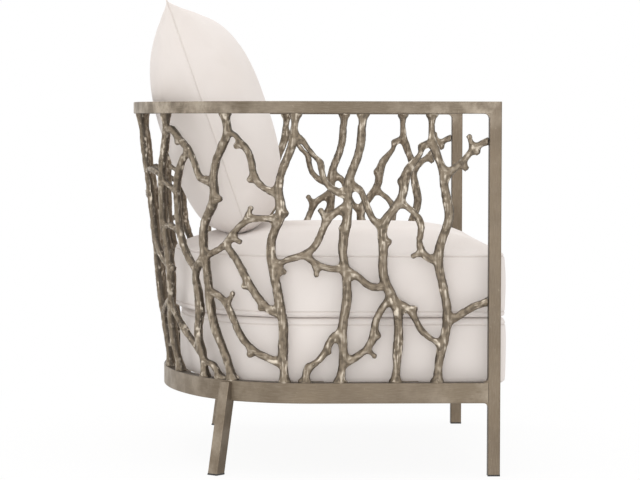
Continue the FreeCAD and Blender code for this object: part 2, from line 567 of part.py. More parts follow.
def drop_onto(piece, support):
    """How far a piece has to move down until it lies a rest gap above its support."""
    moved = piece.copy()
    drop = 0
    step = moved.distToShape(support)[0] - REST_GAP
    while abs(step) > REST_GAP / 3:
        moved.translate(V(0, 0, -step))
        drop += step
        step = moved.distToShape(support)[0] - REST_GAP
    return V(0, 0, -drop)


def both_sides(parts, name, shape):
    """Add a right-hand piece and its mirrored left-hand fellow."""
    parts["right_" + name] = shape
    parts["left_" + name] = left_of(shape)


def frame_parts():
    """Tubes, twigs and feet."""
    parts = {"arm_rail": arm_rail(), "seat_rail": seat_rail(), "front_rail": front_rail()}
    both_sides(parts, "front_post", front_post())
    both_sides(parts, "rear_leg", rear_leg())
    both_sides(parts, "front_glide", front_glide())
    both_sides(parts, "rear_glide", rear_glide())
    twigs = right_twigs()
    for name, solids in twigs.items():
        both_sides(parts, name, Part.makeCompound(solids) if len(solids) > 1 else solids[0])
    parts["back_twigs"] = Part.makeCompound(back_twigs(twigs["stem_8"][0]))
    return parts


def deck_parts():
    """Bearers, board, foam, cover and screws of the deck."""
    holes = [screw_hole(place) for place in screw_places()]
    names = ("front_bearer", "middle_bearer", "rear_bearer")
    parts = {name: bearer(middle, holes) for name, middle in zip(names, bearer_places())}
    board_top = SEAT_RAIL_TOP + DECK_BOARD
    inside = COVER + FILLING_CLEARANCE
    above_board = box((-ARM_WIDTH, ARM_WIDTH), (-FRAME_DEPTH, FRAME_DEPTH), (board_top, DECK_TOP))
    parts["deck_cover"] = deck_body(SEAT_RAIL_TOP).cut(deck_body(SEAT_RAIL_TOP, COVER))
    parts["deck_foam"] = deck_body(board_top, inside)
    parts["deck_board"] = deck_body(SEAT_RAIL_TOP, inside).cut(above_board).cut(holes)
    parts["deck_screws"] = Part.makeCompound([screw(place) for place in screw_places()])
    return parts


def cushion_parts():
    """Loose seat cushion and loose pillow, each a cover with its filling."""
    inside = COVER + FILLING_CLEARANCE
    cushion = seat_cushion()
    whole = pillow()
    drop = drop_onto(whole, cushion)
    parts = {"seat_cushion_cover": cushion.cut(seat_cushion(COVER)), "seat_cushion_foam": seat_cushion(inside)}
    parts["pillow_cover"] = whole.cut(pillow(COVER)).translated(drop)
    parts["pillow_filling"] = pillow(inside).translated(drop)
    return parts


def main():
    """Build every piece and write it to its own file."""
    os.makedirs("parts", exist_ok=True)
    for build in (frame_parts, deck_parts, cushion_parts):
        for name, shape in build().items():
            shape.exportStep("parts/" + name + ".step")


main()
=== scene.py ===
"""Outdoor lounge chair: square tube frame, cast twig lattice, upholstered deck, seat cushion and pillow.

Metres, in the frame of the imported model: the front faces -Y, +Z is up, and right is the sitter's right (-X).
"""
import logging
import math
from dataclasses import dataclass
from enum import Enum

import bmesh
import bpy
import numpy as np
from mathutils import Matrix, Vector, noise
from mathutils.bvhtree import BVHTree
from mathutils.kdtree import KDTree


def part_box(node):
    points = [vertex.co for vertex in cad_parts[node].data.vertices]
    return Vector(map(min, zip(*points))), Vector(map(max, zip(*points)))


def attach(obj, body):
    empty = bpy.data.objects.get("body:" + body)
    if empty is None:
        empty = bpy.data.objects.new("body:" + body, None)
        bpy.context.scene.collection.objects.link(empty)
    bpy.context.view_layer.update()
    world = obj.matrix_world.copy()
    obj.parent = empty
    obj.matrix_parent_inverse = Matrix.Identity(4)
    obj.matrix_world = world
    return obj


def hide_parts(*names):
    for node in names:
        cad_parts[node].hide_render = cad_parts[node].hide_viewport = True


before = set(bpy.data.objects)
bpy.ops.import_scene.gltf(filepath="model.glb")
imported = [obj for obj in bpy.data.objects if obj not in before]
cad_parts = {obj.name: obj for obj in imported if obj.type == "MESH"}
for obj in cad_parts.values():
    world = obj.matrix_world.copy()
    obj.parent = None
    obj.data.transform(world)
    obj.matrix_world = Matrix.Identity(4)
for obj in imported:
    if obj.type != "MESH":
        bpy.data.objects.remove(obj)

Array = np.ndarray
Colour = tuple[float, float, float]
# Low and high end of a range, and what the two ends are mapped to
Span = tuple[float, float, float, float]
LOG = logging.getLogger("lounge_chair")
MM = 0.001
# Phase that Blender's wave texture turns through in one unit at a scale of 1
WAVE_FACTOR = 20
# Steps of a round front corner, and from the side round to the middle of the back
CORNER_STEPS = 16
TURN_STEPS = 180


class Body(Enum):
    """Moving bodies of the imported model."""

    FRAME = "frame"
    CUSHION = "seat_cushion"
    PILLOW = "pillow"


class Slot(Enum):
    """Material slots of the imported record."""

    TUBE = "tube_metal"
    TWIG = "twig_metal"
    FABRIC = "fabric"
    BOARD = "board"
    GLIDE = "glide"
    SCREW = "screw"


class Grain(Enum):
    """Direction in which a tube was brushed, as stretch factors along X, Y and Z."""

    LEVEL = (50.0, 50.0, 700.0)
    UPRIGHT = (700.0, 700.0, 50.0)


# Node graphs

class Graph:
    """Node tree of one material, with short calls that add and join nodes."""

    def __init__(self, name: str) -> None:
        """Start a material with a Principled shader and nothing else.

        Args:
            name: Name of the material.
        """
        self.material = bpy.data.materials.new(name)
        self.material.use_nodes = True
        self.tree = self.material.node_tree
        self.tree.nodes.clear()
        output = self.tree.nodes.new("ShaderNodeOutputMaterial")
        self.shader = self.tree.nodes.new("ShaderNodeBsdfPrincipled")
        self.tree.links.new(self.shader.outputs["BSDF"], output.inputs["Surface"])

    def feed(self, socket: bpy.types.NodeSocket, value: object) -> None:
        """Link a socket to another one, or set its plain value.

        Args:
            socket: Input that receives the value.
            value: Another socket, a number, a colour or a vector.
        """
        if isinstance(value, bpy.types.NodeSocket):
            self.tree.links.new(value, socket)
        else:
            socket.default_value = value

    def node(self, kind: str, inputs: dict, **settings: object) -> bpy.types.Node:
        """Add a node.

        Args:
            kind: Blender's name of the node type.
            inputs: Values or sockets by the name or number of the input.
            **settings: Plain properties of the node.

        Returns:
            The new node.
        """
        made = self.tree.nodes.new(kind)
        for key, value in settings.items():
            setattr(made, key, value)
        for key, value in inputs.items():
            self.feed(made.inputs[key], value)
        return made

    def set(self, **inputs: object) -> None:
        """Feed the shader's inputs, with underscores standing for spaces."""
        for key, value in inputs.items():
            self.feed(self.shader.inputs[key.replace("_", " ")], value)

    def place(self, stretch: tuple[float, float, float] = (1.0, 1.0, 1.0)) -> bpy.types.NodeSocket:
        """Object coordinates, stretched along each axis."""
        spot = self.node("ShaderNodeTexCoord", {}).outputs["Object"]
        return self.node("ShaderNodeMapping", {"Vector": spot, "Scale": stretch}).outputs["Vector"]

    def cloth_place(self) -> bpy.types.NodeSocket:
        """The piece's own UV map, in metres along the cloth."""
        return self.node("ShaderNodeTexCoord", {}).outputs["UV"]

    def attribute(self, name: str) -> bpy.types.NodeSocket:
        """A float stored on the mesh."""
        return self.node("ShaderNodeAttribute", {}, attribute_name=name).outputs["Fac"]

    def cloud(self, place: bpy.types.NodeSocket, scale: float, detail: float = 4.0,
              roughness: float = 0.55) -> bpy.types.NodeSocket:
        """Noise between 0 and 1."""
        inputs = {"Vector": place, "Scale": scale, "Detail": detail, "Roughness": roughness}
        return self.node("ShaderNodeTexNoise", inputs).outputs["Fac"]

    def span(self, value: bpy.types.NodeSocket, low: float, high: float, to_low: float = 0.0,
             to_high: float = 1.0) -> bpy.types.NodeSocket:
        """Map a range smoothly onto another, clamped at both ends."""
        inputs = {"Value": value, "From Min": low, "From Max": high, "To Min": to_low, "To Max": to_high}
        return self.node("ShaderNodeMapRange", inputs, interpolation_type="SMOOTHSTEP").outputs["Result"]

    def sum(self, kind: str, first: object, second: object) -> bpy.types.NodeSocket:
        """Arithmetic on two values, such as ADD, MULTIPLY or MAXIMUM."""
        return self.node("ShaderNodeMath", {0: first, 1: second}, operation=kind).outputs["Value"]

    def mix(self, share: object, first: object, second: object) -> bpy.types.NodeSocket:
        """Mix of two colours.

        Args:
            share: Share of the second colour.
            first: A colour, or a socket that gives one.
            second: A colour, or a socket that gives one.

        Returns:
            The mixed colour.
        """
        first = (*first, 1.0) if isinstance(first, tuple) else first
        second = (*second, 1.0) if isinstance(second, tuple) else second
        made = self.node("ShaderNodeMix", {0: share, 6: first, 7: second}, data_type="RGBA")
        return made.outputs[2]

    def bump(self, height: bpy.types.NodeSocket, depth: float, strength: float) -> bpy.types.NodeSocket:
        """Fine relief that stays in the shading."""
        inputs = {"Height": height, "Distance": depth, "Strength": strength}
        return self.node("ShaderNodeBump", inputs).outputs["Normal"]


# Finishes

@dataclass(frozen=True)
class AntiquedTube:
    """Champagne finish brushed by hand over the square tubes, cloudy and rubbed light in places, with painted
    shade on its broken edges and on one face.
    """

    name: str
    grain: Grain
    base: Colour
    light: Colour = (0.50, 0.43, 0.345)
    dark: Colour = (0.15, 0.115, 0.08)
    painted_shade: Colour = (0.055, 0.042, 0.03)
    metallic: float = 0.6
    cloud_scale: float = 9.0
    patch_scale: float = 20.0
    fleck_scale: float = 150.0
    cloud_span: Span = (0.36, 0.58, 0.55, 0.0)
    rub_span: Span = (0.37, 0.66, 0.08, 0.80)
    stroke_span: Span = (0.40, 0.70, 0.0, 0.16)
    stipple_span: Span = (0.48, 0.36, 0.0, 0.50)
    fleck_span: Span = (0.62, 0.72, 0.0, 0.22)
    # Painted shade along the broken edges and in the fillets, broken up by flecks
    edge_shade_span: Span = (0.40, 0.60, 0.35, 0.0)
    rough_span: Span = (0.3, 0.7, 0.42, 0.56)
    fleck_relief: float = 1.2
    relief_depth: float = 0.0006
    relief_strength: float = 0.35

    def material(self) -> bpy.types.Material:
        """Build the node material.

        Returns:
            The new material.
        """
        graph = Graph(self.name)
        spot = graph.place()
        cloud = graph.cloud(spot, self.cloud_scale, 3.0)
        flecks = graph.cloud(spot, self.fleck_scale, 5.0, 0.65)
        strokes = graph.cloud(graph.place(self.grain.value), 1.0, 3.0)
        patch = graph.cloud(spot, self.patch_scale, 5.0, 0.6)
        colour = graph.mix(graph.span(cloud, *self.cloud_span), self.base, self.dark)
        rubbed = graph.sum("MULTIPLY", graph.attribute("rub"), graph.span(patch, *self.rub_span))
        colour = graph.mix(rubbed, colour, self.light)
        colour = graph.mix(graph.span(strokes, *self.stroke_span), colour, self.light)
        stipple = graph.sum("MULTIPLY", rubbed, graph.span(flecks, *self.stipple_span))
        colour = graph.mix(stipple, colour, self.dark)
        colour = graph.mix(graph.span(flecks, *self.fleck_span), colour, self.light)
        # Painted shade: the broken edges and the fillets in the corners are darkened, in flecks
        shaded_edges = graph.sum("MULTIPLY", graph.attribute("edge_shade"), graph.span(flecks, *self.edge_shade_span))
        colour = graph.mix(shaded_edges, colour, self.dark)
        # Painted shade: faces turned one way are darkened, under the arm, on the seat rail's top, behind the
        # posts and on one side of each leg
        colour = graph.mix(graph.attribute("painted_shade"), colour, self.painted_shade)
        relief = graph.sum("ADD", strokes, graph.sum("MULTIPLY", flecks, self.fleck_relief))
        normal = graph.bump(relief, self.relief_depth, self.relief_strength)
        graph.set(Base_Color=colour, Metallic=self.metallic, Normal=normal)
        graph.set(Roughness=graph.span(strokes, *self.rough_span))
        return graph.material


@dataclass(frozen=True)
class CastTwig:
    """The same finish on rough castings: pits stay dark, raised grain is rubbed bright with painted glints,
    the twig sides take painted shade and their fronts painted light.
    """

    base: Colour = (0.214, 0.170, 0.120)
    light: Colour = (0.72, 0.64, 0.53)
    dark: Colour = (0.05, 0.039, 0.029)
    metallic: float = 0.55
    pit_scale: float = 300.0
    patch_scale: float = 20.0
    hollow_span: Span = (-2.8, -0.9, 0.5, 0.0)
    # Painted shade on twig sides that turn across the wall, and painted light on their fronts and cores
    painted_side_shade_span: Span = (0.20, 0.72, 0.8, 0.0)
    painted_front_light_span: Span = (0.72, 1.0, 0.0, 1.0)
    painted_core_light_span: Span = (-0.6, 1.4, 0.0, 0.26)
    ridge_span: Span = (0.5, 2.4, 0.0, 1.0)
    patch_span: Span = (0.40, 0.60, 0.15, 0.95)
    pit_span: Span = (0.40, 0.28, 0.0, 0.45)
    grain_span: Span = (0.63, 0.72, 0.0, 0.5)
    rough_span: Span = (0.3, 0.7, 0.56, 0.42)
    relief_depth: float = 0.0010
    relief_strength: float = 0.45

    def material(self) -> bpy.types.Material:
        """Build the node material.

        Returns:
            The new material.
        """
        graph = Graph("cast_twig")
        spot = graph.place()
        relief = graph.attribute("relief")
        patch = graph.cloud(spot, self.patch_scale, 3.0)
        pits = graph.cloud(spot, self.pit_scale, 4.0, 0.6)
        colour = graph.mix(graph.span(relief, *self.hollow_span), self.base, self.dark)
        # Painted shade on the twig sides that turn across the wall, and painted light on the fronts that face
        # out of it
        facing = graph.attribute("facing")
        colour = graph.mix(graph.span(facing, *self.painted_side_shade_span), colour, self.dark)
        front = graph.span(facing, *self.painted_front_light_span)
        painted_core_light = graph.sum("MULTIPLY", front, graph.span(relief, *self.painted_core_light_span))
        colour = graph.mix(painted_core_light, colour, self.light)
        # Raised ridges rubbed light: partly real wear, partly painted glints
        ridges = graph.span(relief, *self.ridge_span)
        rubbed = graph.sum("MULTIPLY", ridges, graph.span(patch, *self.patch_span))
        colour = graph.mix(rubbed, colour, self.light)
        colour = graph.mix(graph.span(pits, *self.pit_span), colour, self.dark)
        # Bright grain flecks: partly real grain, partly painted glints
        colour = graph.mix(graph.span(pits, *self.grain_span), colour, self.light)
        normal = graph.bump(pits, self.relief_depth, self.relief_strength)
        graph.set(Base_Color=colour, Metallic=self.metallic, Normal=normal)
        graph.set(Roughness=graph.span(pits, *self.rough_span))
        return graph.material


@dataclass(frozen=True)
class OutdoorCloth:
    """Off-white plain-woven outdoor cloth, with painted shade down in its seams."""

    name: str
    base: Colour = (0.80, 0.75, 0.72)
    shade: Colour = (0.775, 0.72, 0.685)
    # Painted shade down in the seam grooves
    seam: Colour = (0.52, 0.45, 0.41)
    thread_pitch: float = 0.0011
    cloud_scale: float = 5.0
    slub_scale: float = 420.0
    cloud_span: Span = (0.35, 0.65, 0.0, 1.0)
    weave_span: Span = (0.0, 0.5, 0.12, 0.0)
    seam_shade_share: float = 0.25
    slub_relief: float = 0.6
    relief_depth: float = 0.0003
    relief_strength: float = 0.35

    def material(self) -> bpy.types.Material:
        """Build the node material.

        Returns:
            The new material.
        """
        graph = Graph(self.name)
        weave = [self.threads(graph, axis) for axis in "XY"]
        both = graph.sum("MULTIPLY", *weave)
        slubs = graph.cloud(graph.cloth_place(), self.slub_scale, 2.0)
        cloud = graph.cloud(graph.place(), self.cloud_scale, 2.0)
        colour = graph.mix(graph.span(cloud, *self.cloud_span), self.shade, self.base)
        colour = graph.mix(graph.span(both, *self.weave_span), colour, self.shade)
        # Painted shade in the seam grooves
        colour = graph.mix(graph.sum("MULTIPLY", graph.attribute("seam"), self.seam_shade_share), colour, self.seam)
        relief = graph.sum("ADD", both, graph.sum("MULTIPLY", slubs, self.slub_relief))
        normal = graph.bump(relief, self.relief_depth, self.relief_strength)
        graph.set(Base_Color=colour, Roughness=0.86, Sheen_Weight=0.12, Sheen_Roughness=0.45)
        graph.set(Specular_IOR_Level=0.25, Normal=normal)
        return graph.material

    def threads(self, graph: Graph, axis: str) -> bpy.types.NodeSocket:
        """Parallel threads along one direction of the cloth.

        Args:
            graph: Material that they belong to.
            axis: Direction in which they follow each other, X or Y.

        Returns:
            Height of the threads, from 0 to 1.
        """
        scale = 2 * math.pi / (WAVE_FACTOR * self.thread_pitch)
        inputs = {"Vector": graph.cloth_place(), "Scale": scale, "Distortion": 0.6, "Detail": 1.0}
        return graph.node("ShaderNodeTexWave", inputs, bands_direction=axis).outputs["Fac"]


@dataclass(frozen=True)
class PlainFinish:
    """Finish of a small or hidden piece: two tones, a soft grain and a fine relief."""

    name: str
    base: Colour
    shade: Colour
    roughness: float
    metallic: float = 0.0
    stretch: tuple[float, float, float] = (40.0, 40.0, 40.0)
    relief: float = 0.0004
    relief_strength: float = 0.4
    grain_span: Span = (0.35, 0.65, 0.0, 1.0)
    rough_range: tuple[float, float] = (0.3, 0.7)
    rough_shares: tuple[float, float] = (0.85, 1.1)

    def material(self) -> bpy.types.Material:
        """Build the node material.

        Returns:
            The new material.
        """
        graph = Graph(self.name)
        grain = graph.cloud(graph.place(self.stretch), 1.0, 5.0, 0.6)
        colour = graph.mix(graph.span(grain, *self.grain_span), self.shade, self.base)
        normal = graph.bump(grain, self.relief, self.relief_strength)
        graph.set(Base_Color=colour, Metallic=self.metallic, Normal=normal)
        rough = [self.roughness * share for share in self.rough_shares]
        graph.set(Roughness=graph.span(grain, *self.rough_range, *rough))
        return graph.material


ARM = AntiquedTube("arm_finish", Grain.LEVEL, (0.144, 0.111, 0.074), light=(0.62, 0.535, 0.43))
RAIL = AntiquedTube("rail_finish", Grain.LEVEL, (0.182, 0.141, 0.095))
POST = AntiquedTube("post_finish", Grain.UPRIGHT, (0.190, 0.146, 0.099))
BOARD = PlainFinish("plywood_board", (0.55, 0.38, 0.22), (0.38, 0.24, 0.13), 0.6, 0.0, (6.0, 90.0, 90.0))
GLIDE = PlainFinish("nylon_glide", (0.035, 0.033, 0.03), (0.02, 0.019, 0.018), 0.5, 0.0, (300.0,) * 3)
SCREW = PlainFinish("zinc_screw", (0.62, 0.62, 0.60), (0.45, 0.45, 0.44), 0.35, 0.9, (500.0,) * 3)
THREAD = PlainFinish("sewing_thread", (0.74, 0.67, 0.62), (0.62, 0.55, 0.50), 0.7, 0.0, (900.0,) * 3)


# Mesh work

def linked(name: str, mesh: bpy.types.Mesh) -> bpy.types.Object:
    """Put a mesh into the scene as a new object.

    Args:
        name: Name of the object.
        mesh: Its mesh.

    Returns:
        The new object.
    """
    made = bpy.data.objects.new(name, mesh)
    bpy.context.scene.collection.objects.link(made)
    return made


def discard(piece: bpy.types.Object) -> None:
    """Remove a helper object and its mesh.

    Args:
        piece: The helper.
    """
    mesh = piece.data
    bpy.data.objects.remove(piece)
    bpy.data.meshes.remove(mesh)


def places(mesh: bpy.types.Mesh) -> Array:
    """Vertex places as rows of x, y and z.

    Args:
        mesh: Any mesh.

    Returns:
        One row for each vertex.
    """
    flat = np.empty(len(mesh.vertices) * 3, np.float32)
    mesh.vertices.foreach_get("co", flat)
    return flat.reshape(-1, 3).astype(float)


def outwards(mesh: bpy.types.Mesh) -> Array:
    """Vertex normals as rows.

    Args:
        mesh: Any mesh.

    Returns:
        One row for each vertex.
    """
    flat = np.empty(len(mesh.vertices) * 3, np.float32)
    mesh.vertex_normals.foreach_get("vector", flat)
    return flat.reshape(-1, 3).astype(float)


def put(mesh: bpy.types.Mesh, spots: Array) -> None:
    """Move all vertices to new places."""
    mesh.vertices.foreach_set("co", spots.astype(np.float32).ravel())
    mesh.update()


def store(mesh: bpy.types.Mesh, name: str, values: Array) -> None:
    """Keep one number for each vertex under a name that a finish reads."""
    layer = mesh.attributes.get(name) or mesh.attributes.new(name, "FLOAT", "POINT")
    layer.data.foreach_set("value", np.asarray(values, np.float32))


def settle_modifiers(piece: bpy.types.Object) -> None:
    """Turn an object's modifiers into a plain mesh.

    Args:
        piece: Object whose modifiers are applied.
    """
    graph = bpy.context.evaluated_depsgraph_get()
    old = piece.data
    mesh = bpy.data.meshes.new_from_object(piece.evaluated_get(graph))
    piece.modifiers.clear()
    piece.data = mesh
    bpy.data.meshes.remove(old)


def smooth(mesh: bpy.types.Mesh) -> None:
    """Shade every face smoothly."""
    mesh.polygons.foreach_set("use_smooth", np.ones(len(mesh.polygons), bool))


def face_out(mesh: bpy.types.Mesh) -> None:
    """Turn all faces outwards.

    Args:
        mesh: A closed mesh.
    """
    work = bmesh.new()
    work.from_mesh(mesh)
    bmesh.ops.recalc_face_normals(work, faces=work.faces)
    work.to_mesh(mesh)
    work.free()


def edge_ends(mesh: bpy.types.Mesh) -> Array:
    """The two vertices of every edge.

    Args:
        mesh: Any mesh.

    Returns:
        One row of two indices for each edge.
    """
    flat = np.empty(len(mesh.edges) * 2, np.int32)
    mesh.edges.foreach_get("vertices", flat)
    return flat.reshape(-1, 2)


def spread(values: Array, ends: Array, weights: Array | None = None) -> Array:
    """Weighted mean of each vertex's neighbours.

    Args:
        values: One row for each vertex.
        ends: The two vertices of every edge.
        weights: Weight of every edge, or None for equal weights.

    Returns:
        Rows of the same shape as values.
    """
    share = np.ones(len(ends)) if weights is None else weights
    row_share = share if values.ndim == 1 else share[:, None]
    total = np.zeros_like(values)
    count = np.full(len(values), 1e-9)
    for here, there in ((0, 1), (1, 0)):
        np.add.at(total, ends[:, here], values[ends[:, there]] * row_share)
        np.add.at(count, ends[:, here], share)
    return total / (count if values.ndim == 1 else count[:, None])


def tree_of(spots: Array | list[Vector]) -> KDTree:
    """Search tree over places.

    Args:
        spots: The places, in the order of their indices.

    Returns:
        The balanced tree.
    """
    tree = KDTree(len(spots))
    for i, spot in enumerate(spots):
        tree.insert(spot, i)
    tree.balance()
    return tree


def cloud_at(spots: Array, scale: float) -> Array:
    """Noise around 0 at each place."""
    return np.array([noise.noise(Vector(spot) * scale) for spot in spots])


def hand_over(piece: bpy.types.Object, body: Body, slot: Slot, finish: bpy.types.Material,
              *nodes: str) -> None:
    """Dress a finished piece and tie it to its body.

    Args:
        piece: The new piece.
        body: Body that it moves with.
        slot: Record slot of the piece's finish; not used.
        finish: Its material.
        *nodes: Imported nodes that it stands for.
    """
    piece.data.materials.clear()
    piece.data.materials.append(finish)
    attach(piece, body.value)
    if nodes:
        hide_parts(*nodes)
    LOG.info("%s: %d vertices on %s", piece.name, len(piece.data.vertices), body.value)


# Plan of the chair

@dataclass(frozen=True)
class Plan:
    """A U in plan, open to the front: straight arms, round rear corners and a shallow round back."""

    half: float
    corner: float
    back: float
    bend: float

    @property
    def back_radius(self) -> float:
        """Radius of the back, which runs smoothly into both corners."""
        side, depth = self.half - self.corner, self.back - self.bend
        return (side ** 2 + depth ** 2 - self.corner ** 2) / (2 * (depth - self.corner))

    def inset(self, amount: float) -> "Plan":
        """The same U drawn in all round."""
        return Plan(self.half - amount, self.corner - amount, self.back - amount, self.bend)

    def blend(self, other: "Plan", share: float) -> "Plan":
        """The U that lies between this one and another."""
        corner = self.corner + share * (other.corner - self.corner)
        return Plan(self.half, corner, self.back + share * (other.back - self.back), self.bend)

    def point(self, turn: float) -> tuple[float, float]:
        """Point on the right half where the outward direction has turned from the side to the back.

        Args:
            turn: Angle of the outward direction from the side, up to a quarter turn.

        Returns:
            The point's x and y.
        """
        side = self.half - self.corner
        radius = self.back_radius
        centre = self.back - radius
        if turn <= math.atan2(self.bend - centre, side):
            return -side - self.corner * math.cos(turn), self.bend + self.corner * math.sin(turn)
        return -radius * math.cos(turn), centre + radius * math.sin(turn)

    def path(self, front: float, steps: int, turns: int) -> list[tuple[float, float, float]]:
        """Walk along the U.

        Args:
            front: Where the arms end.
            steps: Number of steps along each straight arm.
            turns: Number of steps from the side round to the middle of the back.

        Returns:
            Rows of x, y and the turn of the outward direction, from the right arm to the left one.
        """
        arm = [(-self.half, front + (self.bend - front) * i / steps, 0.0) for i in range(steps)]
        arm += [(*self.point(i * math.pi / 2 / turns), i * math.pi / 2 / turns) for i in range(turns + 1)]
        return arm + [(-x, y, math.pi - turn) for x, y, turn in reversed(arm[:-1])]

    def outline(self, front: float, radius: float, step: float) -> Array:
        """Closed outline with rounded front corners, in equal steps from the middle of the front.

        Args:
            front: Where the front edge lies.
            radius: Radius of the two front corners.
            step: Distance between two points.

        Returns:
            Rows of x and y, to the right first.
        """
        inner, shoulder = self.half - radius, front + radius
        right = [(0.0, front)]
        for i in range(CORNER_STEPS + 1):
            angle = i * math.pi / (2 * CORNER_STEPS)
            right.append((-inner - radius * math.sin(angle), shoulder - radius * math.cos(angle)))
        right += [self.point(i * math.pi / (2 * TURN_STEPS)) for i in range(TURN_STEPS + 1)]
        loop = np.array(right + [(-x, y) for x, y in reversed(right[:-1])])
        run = np.concatenate([[0], np.cumsum(np.linalg.norm(np.diff(loop, axis=0), axis=1))])
        spots = np.linspace(0, run[-1], round(run[-1] / step), endpoint=False)
        return np.stack([np.interp(spots, run, loop[:, i]) for i in (0, 1)], axis=1)


@dataclass(frozen=True)
class ChairSizes:
    """Sizes that the pieces share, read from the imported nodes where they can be."""

    half: float
    arm_top: float
    arm_low: float
    seat_top: float
    seat_low: float
    post_front: float
    post_rear: float
    arm_back: float
    seat_back: float
    deck_top: float
    front: float
    bend: float = 0.010
    arm_corner: float = 0.300
    seat_corner: float = 0.240
    tube: float = 0.022
    twig: float = 0.017
    soft_gap: float = 0.0105

    @classmethod
    def read(cls) -> "ChairSizes":
        """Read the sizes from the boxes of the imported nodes.

        Returns:
            The sizes of this chair.
        """
        arm, seat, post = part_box("arm_rail"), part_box("seat_rail"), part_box("right_front_post")
        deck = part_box("deck_cover")
        front, tube = post[0].y, cls.tube
        return cls(half=arm[1].x, arm_top=arm[1].z, arm_low=arm[0].z, seat_top=seat[1].z, seat_low=seat[0].z,
                   post_front=front, post_rear=front + tube, arm_back=arm[1].y, seat_back=seat[1].y,
                   deck_top=deck[1].z, front=deck[0].y)

    @property
    def arm_plan(self) -> Plan:
        """Outer face of the arm rail."""
        return Plan(self.half, self.arm_corner, self.arm_back, self.bend)

    @property
    def seat_plan(self) -> Plan:
        """Outer face of the seat rail."""
        return Plan(self.half, self.seat_corner, self.seat_back, self.bend)

    def soft_plan(self, level: float) -> Plan:
        """Plan of a soft piece inside the twigs at a level.

        Args:
            level: Height above the floor.

        Returns:
            The plan, clear of the twigs.
        """
        share = (level - self.seat_top) / (self.arm_low - self.seat_top)
        middle = self.seat_plan.blend(self.arm_plan, share)
        return middle.inset(self.tube / 2 + self.twig / 2 + self.soft_gap)

    def wall_point(self, reach: float, rise: float) -> tuple[Vector, Vector]:
        """Point on the middle surface of the twig wall.

        Args:
            reach: 0 to 1 from the post to the bend, 1 to 2 round the bend to the middle of the back.
            rise: 0 to 1 from the seat rail to the arm rail.

        Returns:
            The point and the outward direction there.
        """
        level = self.seat_top + rise * (self.arm_low - self.seat_top)
        middle = self.tube / 2
        if reach <= 1:
            along = self.post_rear + reach * (self.bend - self.post_rear)
            return Vector((middle - self.half, along, level)), Vector((-1, 0, 0))
        turn = (reach - 1) * math.pi / 2
        low = Vector(self.seat_plan.inset(middle).point(turn))
        point = low.lerp(Vector(self.arm_plan.inset(middle).point(turn)), rise)
        return Vector((point.x, point.y, level)), Vector((-math.cos(turn), math.sin(turn), 0))


# Tubes

